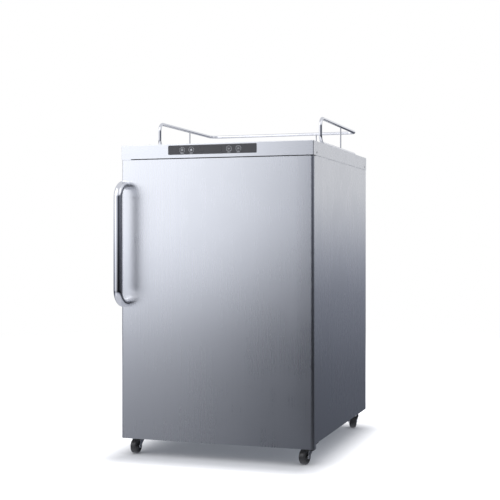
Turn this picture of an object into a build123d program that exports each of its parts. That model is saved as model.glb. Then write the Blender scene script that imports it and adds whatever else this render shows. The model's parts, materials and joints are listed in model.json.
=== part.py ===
from build123d import *
import os

# A full-size beer-keg cooler on casters: an insulated steel cabinet with one hinged door, a folded
# worktop with a guard rail, and a refrigeration unit in a step at the lower rear.
# Millimetres. While modelling, x = 0 is the middle of the cabinet, y = 0 the door's front face (y grows
# to the rear) and z = 0 the floor. Every piece is moved on export, so that the origin is the middle of
# the whole object's box on the floor.

# ---------------------------------------------------------------- driving sizes
WIDTH = 600.0               # worktop and door, side to side
DEPTH = 640.0               # door face to the rear edge of the side panels
BODY_HEIGHT = 874.0         # lower edge of the door to the worktop surface

# worktop and sheet metal
FASCIA_HEIGHT = 41.0        # front and side skirts of the worktop
WORKTOP_SHEET = 1.2
WORKTOP_CORNER = 2.0        # vertical corners of the worktop
PANEL_SHEET = 1.0           # side, rear and front rail sheet
SKIRT_CLEARANCE = 0.3       # between a skirt and the side panel inside it
REAR_FLANGE = 15.0          # return at the rear edge of a side panel
FRONT_FLANGE = 36.5         # return at the front edge, the gasket's steel seat

# cabinet walls
BASE_LIFT = 12.0            # cabinet's underside above the lower edge of the door
BASE_PLATE = 2.0
BASE_LIP = 39.0             # height of the base pan's front lip above the plate
LINER = 2.0
SIDE_FOAM = 45.5
FLOOR_FOAM = 49.0
TOP_FOAM = 82.8
REAR_FOAM = 44.0
REAR_RECESS = 32.0          # rear panel's face to the rear edge of the side panels

# machine step
MACHINE_DEPTH = 124.0       # clear depth of the compressor space
MACHINE_HEIGHT = 218.0      # clear height of the compressor space
STEP_FRONT_FOAM = 30.0
STEP_TOP_FOAM = 28.0

# door
DOOR_TOP_GAP = 3.0          # door to fascia
DOOR_EDGE = 24.0            # thickness of the door at its edge
SEAL_GAP = 4.0              # door's rear face to the cabinet's face
DOOR_SHEET = 1.0
DOOR_CORNER = 8.0           # radius of the door's upright front edges
CAP_HEIGHT = 10.0           # plastic end caps in the door's two ends
DOOR_LINER = 2.0
PLUG_DEPTH = 26.0           # how far the door's liner stands into the cavity
PLUG_CLEARANCE = 10.0       # round the door's liner, inside the mouth
GASKET_WIDTH = 16.0
GASKET_INSET = 14.0         # gasket's outer edge to the door's edge
RUN_GAP = 0.3               # gap between pieces that move past each other

# hinge
PIN_EDGE = 10.0             # pin axis to the door's right edge
PIN_BACK = 10.0             # pin axis to the door's front face
PIN_RADIUS = 4.0
PIN_FIT = 0.05              # radial running clearance of pins, axles and shafts
PIN_DEPTH = 9.0             # length of pin inside the door's end cap
BRACKET_SHEET = 3.0
BRACKET_UNDER_GAP = 1.0     # door's lower edge to the lower bracket
BRACKET_HALF = 7.5          # half width of a bracket's tongue round the pin
BRACKET_FOOT = 30.0         # length of a bracket's screwed foot
LOW_FOOT_HALF = 3.6         # half width of the lower bracket's foot, on its cabinet side
BRACKET_SCREW_BACK = (12.0, 26.0)   # lower bracket's screws behind the cabinet's face
BRACKET_SCREW_SIDE = 22.0   # upper bracket's screws to the left of the pin
BRACKET_SCREW_LIFT = (12.0, 24.0)   # and above the lower edge of the fascia

# screws
SCREW_HEAD = 3.4            # head radius
SCREW_HEAD_HEIGHT = 1.1
SCREW_SHANK = 1.9           # shank radius
SKIRT_SCREW_LIFT = 8.5      # above the lower edge of the skirt
SKIRT_SCREW_INSET = (6.0, 26.0)     # behind the cabinet's face, and in front of the rear edge

# handle
HANDLE_RADIUS = 12.7
HANDLE_INSET = 17.6         # bar axis to the door's left edge
HANDLE_STANDOFF = 55.0      # bar axis in front of the door
HANDLE_BEND = 40.0
HANDLE_DROP = 74.5          # upper post below the upper edge of the door
HANDLE_SPAN = 349.5         # between the posts
HANDLE_BOLT = 3.0           # bolt radius
HANDLE_THREAD = 12.0        # depth of thread in a post
BOLT_HEAD = (7.0, 4.0)      # radius and height of a bolt's head

# guard rail
RAIL_RADIUS = 5.0
RAIL_BEND = 24.0
RAIL_INSET = 35.0           # rail axis to the worktop's side edge
RAIL_FRONT = 193.0          # front posts behind the door's face
RAIL_REAR_INSET = 12.0
RAIL_TOP = 87.0             # upper rail axis above the worktop
RAIL_LOW = 12.0             # lower rail axis above the worktop
PICKET_RADIUS = 2.25
PICKET_BACK = 235.0         # side pickets behind the front posts
PICKET_RIGHT = 124.0        # rear picket to the right of the middle
RAIL_FOOT_RADIUS = 7.5
RAIL_FOOT_INSET = 60.0      # side feet to the ends of the rail
REAR_FOOT_INSET = 100.0     # rear feet to the side rails

# openings through the walls
TOWER_RADIUS = 38.0
TOWER_BACK = 330.0          # tower hole behind the door's face
TOWER_BOLT_CIRCLE = 95.0
TOWER_BOLT_RADIUS = 2.5
SLEEVE_WALL = 2.0
GAS_RADIUS = 11.0
GAS_INSET = 70.0            # gas port to the cavity's right wall
GAS_ABOVE_STEP = 40.0

# control panel
PANEL_LEFT = -147.0
PANEL_RIGHT = 130.0
PANEL_HEIGHT = 27.5
PANEL_DROP = 4.0            # worktop surface to the panel's upper edge
PANEL_PROUD = 0.8
PANEL_THICK = 2.7           # depth of the panel behind the fascia's front face
PANEL_CORNER = 3.0
PANEL_GAP = 0.2             # panel to its window, and display to the panel
PANEL_FLANGE = 2.4
BOARD_POST = 2.5
BUTTON_PLACES = {"power": -101.5, "lock": -72.8, "lower": 44.8, "raise": 74.2}
BUTTON_RADIUS = 6.0
BUTTON_GAP = 0.3
BUTTON_TRAVEL = 0.8
DISPLAY_LEFT = -48.0
DISPLAY_RIGHT = 22.0
DISPLAY_HEIGHT = 14.0
BOARD_BACK = 12.0           # circuit board behind the fascia's front face
BOARD_THICK = 1.6
SWITCH_HEIGHT = 2.0
SWITCH_HALF = 3.0
KEY_FLANGE = (1.4, 1.2)     # how far a key's flange stands out, and its thickness
KEY_PROUD = 0.6             # key above the panel's face

# casters
CASTER_INSET = 33.0         # swivel axis to the worktop's side edge
CASTER_FRONT = 54.0         # front swivel axis behind the door's face
CASTER_REAR = 43.0          # rear swivel axis in front of the rear edge
WHEEL_RADIUS = 22.5
WHEEL_WIDTH = 20.0
TREAD_ROUND = 5.0
TRAIL = 20.0                # swivel axis to axle
CROWN_GAP = 2.5             # wheel to the underside of the fork's crown
AXLE_RADIUS = 3.0
FORK_SHEET = 2.5
FORK_SIDE_GAP = 1.5         # between the wheel and each leg
FORK_FOOT = 6.5             # radius of a leg's lower end round the axle
RACE_RADIUS = 15.0
RACE_HEIGHT = 4.0
CASTER_SCREW = 2.5          # radius
KINGPIN_RADIUS = 4.0
CASTER_PLATE = (38.0, 50.0, 2.5)
# name: side (-1 left, 1 right), is it at the rear, and how far the wheel has turned from trailing forwards
CASTERS = {
    "front_left": (-1, False, -1.0),
    "front_right": (1, False, -10.0),
    "rear_left": (-1, True, 192.0),
    "rear_right": (1, True, 205.0),
}

# refrigeration
COMPRESSOR_RIGHT = 60.0
COMPRESSOR_RADII = (78.0, 50.0)
COMPRESSOR_HEIGHT = 146.0
COMPRESSOR_LIFT = 22.0      # shell's underside above the base plate
TUBE_RADIUS = 2.5
SUCTION_RADIUS = 4.0
COIL_INSET = 50.0           # condenser's ends to the cavity's side walls
COIL_TOP_GAP = 50.0         # least height left over the condenser
COIL_PITCH = 46.0
COIL_ABOVE_MACHINE = 120.0
WIRE_RADIUS = 0.8
WIRE_COUNT = 25
FAN_RIGHT = 80.0
FAN_RADIUS = 45.0
FAN_GRILLE = 50.0
COVER_HALF = 170.0
COVER_HEIGHT = 230.0
COVER_DEPTH = 56.0
COVER_DROP = 48.0           # cavity's ceiling to the cover's upper edge
COVER_WALL = 2.0
SUCTION_INSET = 20.0        # suction line to the cavity's left wall
SUCTION_LIFT = 60.0         # suction stub above the compressor's underside
DRIER_LEFT = 130.0
DRIER_BACK = 40.0           # drier behind the machine space's front wall
EVAPORATOR_X = (-150.0, 12.0)
FIN_COUNT = 19
SHAFT_RADIUS = 1.6
FAN_HUB = 13.0
FAN_DEPTH = 14.0
FAN_BLADES = 5

# cavity fittings
LAMP_SIZE = (120.0, 36.0, 12.0)
LAMP_BACK = 20.0            # lamp behind the door's plug
PLATE_EDGE = 35.0           # floor plate to the cavity's side walls
PLATE_BEADS = (-110.0, 0.0, 110.0)
PROBE_BACK = 90.0           # probe behind the tower hole's axis
PROBE_STANDOFF = 7.0
PROBE_RADIUS = 3.5
GLAND_INSET = 48.0          # cord gland to the side foam's outer face
GLAND_LIFT = 34.0

# ---------------------------------------------------------------- places that follow
HALF = WIDTH / 2
FORK_TOP = 2 * WHEEL_RADIUS + CROWN_GAP + FORK_SHEET
RACE_TOP = FORK_TOP + RACE_HEIGHT
RIDE_HEIGHT = FORK_TOP                              # floor to the lower edge of the door
TOP_Z = RIDE_HEIGHT + BODY_HEIGHT
FASCIA_Z = TOP_Z - FASCIA_HEIGHT
DOOR_TOP = FASCIA_Z - DOOR_TOP_GAP
DOOR_BOTTOM = RIDE_HEIGHT
BASE_Z = DOOR_BOTTOM + BASE_LIFT
FLOOR_Z = BASE_Z + BASE_PLATE
SHEET_UNDER = TOP_Z - WORKTOP_SHEET

FACE_Y = DOOR_EDGE + SEAL_GAP
PANEL_X = HALF - WORKTOP_SHEET - SKIRT_CLEARANCE
FOAM_X = PANEL_X - PANEL_SHEET
LINER_X = FOAM_X - SIDE_FOAM
CAVITY_X = LINER_X - LINER
FLANGE_X = PANEL_X - FRONT_FLANGE
FOAM_Y = FACE_Y + LINER
PANEL_REAR = DEPTH - WORKTOP_SHEET - SKIRT_CLEARANCE
REAR_FACE = DEPTH - REAR_RECESS
FOAM_REAR = REAR_FACE - PANEL_SHEET
LINER_REAR = FOAM_REAR - REAR_FOAM
CAVITY_REAR = LINER_REAR - LINER
LINER_FLOOR = FLOOR_Z + FLOOR_FOAM
CAVITY_FLOOR = LINER_FLOOR + LINER
LINER_TOP = SHEET_UNDER - TOP_FOAM
CAVITY_TOP = LINER_TOP - LINER
LIP_TOP = FLOOR_Z + BASE_LIP
RAIL_SEAT = LINER_TOP + (LINER_FLOOR - LIP_TOP)     # lower edge of the front rail

MACHINE_FRONT = DEPTH - MACHINE_DEPTH
MACHINE_TOP = FLOOR_Z + MACHINE_HEIGHT
STEP_LINER = MACHINE_FRONT - STEP_FRONT_FOAM
STEP_FACE = STEP_LINER - LINER
STEP_FOAM_TOP = MACHINE_TOP + STEP_TOP_FOAM
STEP_TOP = STEP_FOAM_TOP + LINER

SKIRT_SCREW_Z = FASCIA_Z + SKIRT_SCREW_LIFT
SKIRT_SCREW_Y = (FACE_Y + SKIRT_SCREW_INSET[0], DEPTH - SKIRT_SCREW_INSET[1])

PIN_X = HALF - PIN_EDGE
BRACKET_SCREWS_LOW = tuple(FACE_Y + back for back in BRACKET_SCREW_BACK)
BRACKET_SCREWS_TOP = tuple((PIN_X - BRACKET_SCREW_SIDE, FASCIA_Z + lift) for lift in BRACKET_SCREW_LIFT)
HANDLE_X = -HALF + HANDLE_INSET
HANDLE_Z = (DOOR_TOP - HANDLE_DROP - HANDLE_SPAN, DOOR_TOP - HANDLE_DROP)
HANDLE_REACH = HANDLE_STANDOFF + HANDLE_RADIUS
PLUG_X = CAVITY_X - PLUG_CLEARANCE
PLUG_Z = (CAVITY_FLOOR + PLUG_CLEARANCE, CAVITY_TOP - PLUG_CLEARANCE)
PLUG_Y = DOOR_EDGE + PLUG_DEPTH

RAIL_X = HALF - RAIL_INSET
RAIL_Y = (RAIL_FRONT, DEPTH - RAIL_REAR_INSET)
RAIL_Z = (TOP_Z + RAIL_LOW, TOP_Z + RAIL_TOP)

PANEL_Z = (TOP_Z - PANEL_DROP - PANEL_HEIGHT, TOP_Z - PANEL_DROP)
BUTTON_Z = (PANEL_Z[0] + PANEL_Z[1]) / 2
SWITCH_FRONT = BOARD_BACK - SWITCH_HEIGHT
STEM_END = SWITCH_FRONT - BUTTON_TRAVEL - RUN_GAP
BUTTON_BACK = PANEL_THICK + RUN_GAP + KEY_FLANGE[1]

CASTER_X = HALF - CASTER_INSET
CASTER_REAR_Y = DEPTH - CASTER_REAR
CASTER_SCREWS = ((-13.5, -19.5), (13.5, -19.5), (-13.5, 19.5), (13.5, 19.5))
PLATE_UNDER = BASE_Z - CASTER_PLATE[2]

GAS_RIGHT = CAVITY_X - GAS_INSET
GAS_Z = STEP_TOP + GAS_ABOVE_STEP
COMPRESSOR_Y = (MACHINE_FRONT + DEPTH) / 2
COMPRESSOR_Z = FLOOR_Z + COMPRESSOR_LIFT
COIL_Y = (REAR_FACE + DEPTH) / 2
COIL_Z = MACHINE_TOP + COIL_ABOVE_MACHINE
COIL_HALF = CAVITY_X - COIL_INSET
COIL_RUNS = 2 * int((SHEET_UNDER - COIL_TOP_GAP - COIL_Z) / (2 * COIL_PITCH)) + 1
SUCTION_LEFT = CAVITY_X - SUCTION_INSET
SUCTION_START = COMPRESSOR_Z + SUCTION_LIFT
DRIER = (-DRIER_LEFT, MACHINE_FRONT + DRIER_BACK)
COVER_Z = (CAVITY_TOP - COVER_DROP - COVER_HEIGHT, CAVITY_TOP - COVER_DROP)
COVER_Y = CAVITY_REAR - COVER_DEPTH
FAN_Z = (COVER_Z[0] + COVER_Z[1]) / 2
FAN_Y = COVER_Y + COVER_WALL + 6.0
SUCTION_Z = COVER_Z[0] + 40.0

CENTRE_Y = (DEPTH - HANDLE_REACH) / 2
TO_FRAME = Pos(0, -CENTRE_Y, 0)


# ---------------------------------------------------------------- shapes used often
def block(x, y, z):
    """Box between two corners, each given as (low, high)."""
    box = Box(x[1] - x[0], y[1] - y[0], z[1] - z[0])
    return Pos((x[0] + x[1]) / 2, (y[0] + y[1]) / 2, (z[0] + z[1]) / 2) * box


def rod(start, end, radius):
    """Round bar from one point to another."""
    run = Vector(*end) - Vector(*start)
    bar = Cylinder(radius, run.length, align=(Align.CENTER, Align.CENTER, Align.MIN))
    return Plane(origin=start, z_dir=run) * bar


def ring(start, end, outer, inner):
    """Round sleeve from one point to another."""
    return rod(start, end, outer) - rod(start, end, inner)


def bent_bar(points, bend, radius):
    """Round bar along straight runs joined by equal bends."""
    path = FilletPolyline(*points, radius=bend)
    section = Plane(origin=path @ 0, z_dir=path % 0) * Circle(radius)
    return sweep(section, path)


def both_sides(shape):
    """A piece and its mirror image, left and right."""
    return [shape, mirror(shape, Plane.YZ)]


def round_upright(shape, radius):
    """Rounds every upright edge."""
    return fillet(shape.edges().filter_by(Axis.Z), radius)


def save(name, shape):
    """Writes one node. A list is a group of separate solids."""
    solids = []
    for item in shape if isinstance(shape, list) else [shape]:
        solids.extend(item.solids())
    moved = [TO_FRAME * solid for solid in solids]
    export_step(moved[0] if len(moved) == 1 else Compound(moved), "parts/" + name + ".step")


# ---------------------------------------------------------------- worktop
def worktop():
    """Folded stainless pan, open below, with the tower's hole and the control panel's window."""
    outer = block((-HALF, HALF), (0, DEPTH), (FASCIA_Z, TOP_Z))
    outer = round_upright(outer, WORKTOP_CORNER)
    outer = fillet(outer.edges().group_by(Axis.Z)[-1], WORKTOP_SHEET)
    inside_x = HALF - WORKTOP_SHEET
    inner = block((-inside_x, inside_x), (WORKTOP_SHEET, DEPTH - WORKTOP_SHEET), (FASCIA_Z, SHEET_UNDER))
    pan = outer - round_upright(inner, WORKTOP_CORNER - WORKTOP_SHEET)
    pan -= rod((0, TOWER_BACK, SHEET_UNDER), (0, TOWER_BACK, TOP_Z), TOWER_RADIUS + SLEEVE_WALL)
    reach = TOWER_BOLT_CIRCLE / 2
    for hole in PolarLocations(reach, 4, start_angle=45):
        pan -= Pos(0, TOWER_BACK, TOP_Z) * hole * Cylinder(TOWER_BOLT_RADIUS, 4 * WORKTOP_SHEET)
    window = block((PANEL_LEFT, PANEL_RIGHT), (-1, WORKTOP_SHEET + 1), PANEL_Z)
    pan -= fillet(window.edges().filter_by(Axis.Y), PANEL_CORNER)
    for side in (-1, 1):
        for y in SKIRT_SCREW_Y:
            pan -= rod((side * (HALF + 1), y, SKIRT_SCREW_Z), (side * (inside_x - 1), y, SKIRT_SCREW_Z),
                       SCREW_HEAD + 0.1)
    return pan


def guard_rail():
    """One closed loop of tube: an upper and a lower three-sided rail joined by the two front posts."""
    half = bent_bar([
        (0, RAIL_Y[1], RAIL_Z[1]),
        (RAIL_X, RAIL_Y[1], RAIL_Z[1]),
        (RAIL_X, RAIL_Y[0], RAIL_Z[1]),
        (RAIL_X, RAIL_Y[0], RAIL_Z[0]),
        (RAIL_X, RAIL_Y[1], RAIL_Z[0]),
        (0, RAIL_Y[1], RAIL_Z[0]),
    ], RAIL_BEND, RAIL_RADIUS)
    return half + mirror(half, Plane.YZ)


def rail_pickets(rail):
    """Thin uprights between the two rails, coped to the tube at both ends."""
    side_y = RAIL_Y[0] + PICKET_BACK
    places = [(-RAIL_X, side_y), (RAIL_X, side_y), (PICKET_RIGHT, RAIL_Y[1])]
    return [rod((x, y, RAIL_Z[0]), (x, y, RAIL_Z[1]), PICKET_RADIUS) - rail for x, y in places]


def rail_feet(rail):
    """Short posts that carry the lower rail on the worktop."""
    side = [(RAIL_X, RAIL_Y[0] + RAIL_FOOT_INSET), (RAIL_X, RAIL_Y[1] - RAIL_FOOT_INSET),
            (RAIL_X - REAR_FOOT_INSET, RAIL_Y[1])]
    feet = []
    for x, y in side:
        foot = rod((x, y, TOP_Z), (x, y, RAIL_Z[0]), RAIL_FOOT_RADIUS) - rail
        feet.extend(both_sides(foot.solids().sort_by(Axis.Z)[0]))
    return feet


# ---------------------------------------------------------------- cabinet shell
def side_panel(side):
    """Upright sheet with an inward return at its front and rear edges."""
    z = (BASE_Z, SHEET_UNDER)
    sheet = block((FOAM_X, PANEL_X), (FACE_Y, PANEL_REAR), z)
    sheet += block((FLANGE_X, PANEL_X), (FACE_Y, FACE_Y + PANEL_SHEET), z)
    sheet += block((PANEL_X - REAR_FLANGE, PANEL_X), (PANEL_REAR - PANEL_SHEET, PANEL_REAR), z)
    for y in SKIRT_SCREW_Y:
        sheet -= rod((FOAM_X - 1, y, SKIRT_SCREW_Z), (PANEL_X + 1, y, SKIRT_SCREW_Z), SCREW_SHANK)
    return sheet if side > 0 else mirror(sheet, Plane.YZ)


def rear_panel():
    sheet = block((-FOAM_X, FOAM_X), (FOAM_REAR, REAR_FACE), (MACHINE_TOP, SHEET_UNDER))
    return sheet - gas_hole() - suction_hole()


def front_rail():
    """Steel strip over the door's mouth, the gasket's upper seat, behind the fascia."""
    return block((-FLANGE_X, FLANGE_X), (FACE_Y, FACE_Y + PANEL_SHEET), (RAIL_SEAT, SHEET_UNDER))


def base_pan():
    """Floor plate with an upturned front lip, drilled for the casters."""
    pan = block((-FOAM_X, FOAM_X), (FACE_Y + PANEL_SHEET, PANEL_REAR - PANEL_SHEET), (BASE_Z, FLOOR_Z))
    pan += block((-FLANGE_X, FLANGE_X), (FACE_Y, FACE_Y + PANEL_SHEET), (BASE_Z, LIP_TOP))
    for side, at_rear, _ in CASTERS.values():
        y = CASTER_REAR_Y if at_rear else CASTER_FRONT
        for dx, dy in CASTER_SCREWS:
            pan -= Pos(side * CASTER_X + dx, y + dy, BASE_Z) * Cylinder(CASTER_SCREW, 4 * BASE_PLATE)
    for place in BRACKET_SCREWS_LOW:
        pan -= Pos(PIN_X, place, BASE_Z) * Cylinder(SCREW_SHANK, 4 * BASE_PLATE)
    return pan


def gas_hole():
    return rod((GAS_RIGHT, CAVITY_REAR - 1, GAS_Z), (GAS_RIGHT, REAR_FACE + 1, GAS_Z), GAS_RADIUS + SLEEVE_WALL)


def suction_hole():
    return rod((-SUCTION_LEFT, CAVITY_REAR - 1, SUCTION_Z), (-SUCTION_LEFT, REAR_FACE + 1, SUCTION_Z),
               SUCTION_RADIUS + PIN_FIT)


def tower_hole():
    return rod((0, TOWER_BACK, CAVITY_TOP - 1), (0, TOWER_BACK, TOP_Z), TOWER_RADIUS + SLEEVE_WALL)


# ---------------------------------------------------------------- insulation and liner
def insulation_walls():
    """Foam in the two sides and the rear. The sides stop at the compressor space."""
    lower = block((LINER_X, FOAM_X), (FOAM_Y, MACHINE_FRONT), (FLOOR_Z, STEP_FOAM_TOP))
    upper = block((LINER_X, FOAM_X), (FOAM_Y, FOAM_REAR), (STEP_FOAM_TOP, LINER_TOP))
    rear = block((-LINER_X, LINER_X), (LINER_REAR, FOAM_REAR), (STEP_FOAM_TOP, LINER_TOP))
    rear = rear - gas_hole() - suction_hole()
    return both_sides(lower) + both_sides(upper) + [rear]


def insulation_base():
    """Foam in the floor, and in the front and top of the machine step."""
    floor = block((-LINER_X, LINER_X), (FOAM_Y, MACHINE_FRONT), (FLOOR_Z, LINER_FLOOR))
    riser = block((-LINER_X, LINER_X), (STEP_LINER, MACHINE_FRONT), (LINER_FLOOR, MACHINE_TOP))
    ledge = block((-LINER_X, LINER_X), (STEP_LINER, FOAM_REAR), (MACHINE_TOP, STEP_FOAM_TOP))
    return [floor, riser, ledge]


def insulation_top():
    return block((-FOAM_X, FOAM_X), (FOAM_Y, FOAM_REAR), (LINER_TOP, SHEET_UNDER)) - tower_hole()


def liner_walls():
    """Moulded inner walls. Each side wall has a flange round the mouth."""
    side = block((CAVITY_X, LINER_X), (FACE_Y, LINER_REAR), (STEP_FOAM_TOP, LINER_TOP))
    side += block((CAVITY_X, LINER_X), (FACE_Y, STEP_LINER), (LINER_FLOOR, STEP_FOAM_TOP))
    side += block((CAVITY_X, FLANGE_X), (FACE_Y, FOAM_Y), (LIP_TOP, RAIL_SEAT))
    rear = block((-CAVITY_X, CAVITY_X), (CAVITY_REAR, LINER_REAR), (STEP_TOP, CAVITY_TOP))
    return both_sides(side) + [rear - gas_hole() - suction_hole()]


def liner_ceiling():
    sheet = block((-CAVITY_X, CAVITY_X), (FACE_Y, LINER_REAR), (CAVITY_TOP, LINER_TOP))
    sheet += block((-CAVITY_X, CAVITY_X), (FACE_Y, FOAM_Y), (LINER_TOP, RAIL_SEAT))
    return sheet - tower_hole()


def liner_base():
    """Inner floor with its front flange, the riser of the step and the step's top."""
    floor = block((-CAVITY_X, CAVITY_X), (FACE_Y, STEP_LINER), (LINER_FLOOR, CAVITY_FLOOR))
    floor += block((-CAVITY_X, CAVITY_X), (FACE_Y, FOAM_Y), (LIP_TOP, LINER_FLOOR))
    riser = block((-CAVITY_X, CAVITY_X), (STEP_FACE, STEP_LINER), (CAVITY_FLOOR, STEP_FOAM_TOP))
    ledge = block((-CAVITY_X, CAVITY_X), (STEP_FACE, LINER_REAR), (STEP_FOAM_TOP, STEP_TOP))
    return [floor, riser, ledge]


def keg_floor_plate():
    """Pressed plate that spreads a keg's load, with rounded corners and three long beads."""
    side = CAVITY_X - PLATE_EDGE
    plate = block((-side, side), (PLUG_Y + 6, STEP_FACE - 6),
                  (CAVITY_FLOOR, CAVITY_FLOOR + LINER))
    plate = round_upright(plate, 20)
    for x in PLATE_BEADS:
        bead = block((x - 6, x + 6), (PLUG_Y + 40, STEP_FACE - 40), (CAVITY_FLOOR + LINER, CAVITY_FLOOR + 3.2))
        plate += round_upright(bead, 5.9)
    return plate


def tower_sleeve():
    return ring((0, TOWER_BACK, CAVITY_TOP), (0, TOWER_BACK, TOP_Z), TOWER_RADIUS + SLEEVE_WALL, TOWER_RADIUS)


def gas_port_sleeve():
    return ring((GAS_RIGHT, CAVITY_REAR, GAS_Z), (GAS_RIGHT, REAR_FACE, GAS_Z), GAS_RADIUS + SLEEVE_WALL,
                GAS_RADIUS)


# ---------------------------------------------------------------- door
def rounded_slab(half, y, z, corner):
    """Upright slab whose two front edges are rounded."""
    slab = block((-half, half), y, z)
    front = slab.edges().filter_by(Axis.Z).group_by(Axis.Y)[0]
    return fillet(front, corner)


def pin_hole(low, high):
    return rod((PIN_X, PIN_BACK, low), (PIN_X, PIN_BACK, high), PIN_RADIUS + PIN_FIT)


def door_skin():
    """Stainless wrap: front face and two side returns, open at both ends and behind."""
    z = (DOOR_BOTTOM, DOOR_TOP)
    outer = rounded_slab(HALF, (0, DOOR_EDGE), z, DOOR_CORNER)
    inner = rounded_slab(HALF - DOOR_SHEET, (DOOR_SHEET, DOOR_EDGE), z, DOOR_CORNER - DOOR_SHEET)
    skin = outer - inner
    for post in HANDLE_Z:
        skin -= rod((HANDLE_X, -1, post), (HANDLE_X, DOOR_SHEET + 1, post), HANDLE_BOLT)
    return skin


def door_end_caps():
    """Plastic caps in the door's two ends. The right-hand hole in each is a hinge bush."""
    caps = []
    for z in ((DOOR_BOTTOM, DOOR_BOTTOM + CAP_HEIGHT), (DOOR_TOP - CAP_HEIGHT, DOOR_TOP)):
        cap = rounded_slab(HALF - DOOR_SHEET, (DOOR_SHEET, DOOR_EDGE), z, DOOR_CORNER - DOOR_SHEET)
        caps.append(cap - pin_hole(z[0] - 1, z[1] + 1))
    return caps


def door_insulation():
    """Foam in the door, and the foam plug inside its liner."""
    z = (DOOR_BOTTOM + CAP_HEIGHT, DOOR_TOP - CAP_HEIGHT)
    core = rounded_slab(HALF - DOOR_SHEET, (DOOR_SHEET, DOOR_EDGE - DOOR_LINER), z, DOOR_CORNER - DOOR_SHEET)
    for post in HANDLE_Z:
        core -= rod((HANDLE_X, 0, post), (HANDLE_X, DOOR_SHEET + BOLT_HEAD[1], post), BOLT_HEAD[0])
    wall = DOOR_LINER
    plug = block((-PLUG_X + wall, PLUG_X - wall), (DOOR_EDGE - wall, PLUG_Y - wall),
                 (PLUG_Z[0] + wall, PLUG_Z[1] - wall))
    return [core, plug]


def door_liner():
    """Moulded inner face of the door: a flat flange with a hollow plug that enters the cabinet's mouth."""
    side = HALF - DOOR_SHEET
    flange = block((-side, side), (DOOR_EDGE - DOOR_LINER, DOOR_EDGE),
                   (DOOR_BOTTOM + CAP_HEIGHT, DOOR_TOP - CAP_HEIGHT))
    plug = block((-PLUG_X, PLUG_X), (DOOR_EDGE, PLUG_Y), PLUG_Z)
    plug = fillet(plug.edges().group_by(Axis.Y)[-1], 6)
    wall = DOOR_LINER
    hollow = block((-PLUG_X + wall, PLUG_X - wall), (DOOR_EDGE - wall, PLUG_Y - wall),
                   (PLUG_Z[0] + wall, PLUG_Z[1] - wall))
    return flange + plug - hollow


def door_gasket():
    """Magnetic seal: a closed frame with a hollow-bellows step on its cabinet side."""
    thick = SEAL_GAP - RUN_GAP
    x = HALF - GASKET_INSET
    z = (DOOR_BOTTOM + GASKET_INSET, DOOR_TOP - GASKET_INSET)
    wide = GASKET_WIDTH
    frame = block((-x, x), (DOOR_EDGE, DOOR_EDGE + thick), z)
    frame = fillet(frame.edges().filter_by(Axis.Y), 4)
    opening = block((-x + wide, x - wide), (DOOR_EDGE - 1, DOOR_EDGE + thick + 1), (z[0] + wide, z[1] - wide))
    step = 3.0
    frame -= opening
    lip = block((-x - 1, x + 1), (DOOR_EDGE + thick / 2, DOOR_EDGE + thick + 1), (z[0] - 1, z[1] + 1))
    lip -= block((-x + step, x - step), (DOOR_EDGE, DOOR_EDGE + thick + 2), (z[0] + step, z[1] - step))
    return frame - lip


def door_handle():
    """Bent polished bar, bored at both ends for its bolts."""
    bar = bent_bar([
        (HANDLE_X, 0, HANDLE_Z[1]),
        (HANDLE_X, -HANDLE_STANDOFF, HANDLE_Z[1]),
        (HANDLE_X, -HANDLE_STANDOFF, HANDLE_Z[0]),
        (HANDLE_X, 0, HANDLE_Z[0]),
    ], HANDLE_BEND, HANDLE_RADIUS)
    for post in HANDLE_Z:
        bar -= rod((HANDLE_X, 1, post), (HANDLE_X, -HANDLE_THREAD, post), HANDLE_BOLT)
    return bar


def handle_bolts():
    bolts = []
    for post in HANDLE_Z:
        bolt = rod((HANDLE_X, DOOR_SHEET, post), (HANDLE_X, -HANDLE_THREAD, post), HANDLE_BOLT)
        bolt += rod((HANDLE_X, DOOR_SHEET, post), (HANDLE_X, DOOR_SHEET + BOLT_HEAD[1], post), BOLT_HEAD[0])
        bolts.append(bolt)
    return bolts


# ---------------------------------------------------------------- hinges
def hinge_bracket_top():
    """Angle inside the fascia, screwed to the front rail, whose pin enters the door from above."""
    low = FASCIA_Z + 1
    x = (PIN_X - BRACKET_FOOT, PIN_X + BRACKET_HALF)
    angle = block(x, (FACE_Y - BRACKET_SHEET, FACE_Y), (low, low + BRACKET_FOOT))
    angle += block((PIN_X - BRACKET_HALF, x[1]), (PIN_BACK, FACE_Y), (low, low + BRACKET_SHEET))
    angle += rod((PIN_X, PIN_BACK, low), (PIN_X, PIN_BACK, low + BRACKET_SHEET), BRACKET_HALF)
    angle += rod((PIN_X, PIN_BACK, DOOR_TOP - PIN_DEPTH), (PIN_X, PIN_BACK, low), PIN_RADIUS)
    for x_screw, z_screw in BRACKET_SCREWS_TOP:
        angle -= rod((x_screw, FACE_Y - 10, z_screw), (x_screw, FACE_Y + 10, z_screw), SCREW_SHANK)
    return angle


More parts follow.
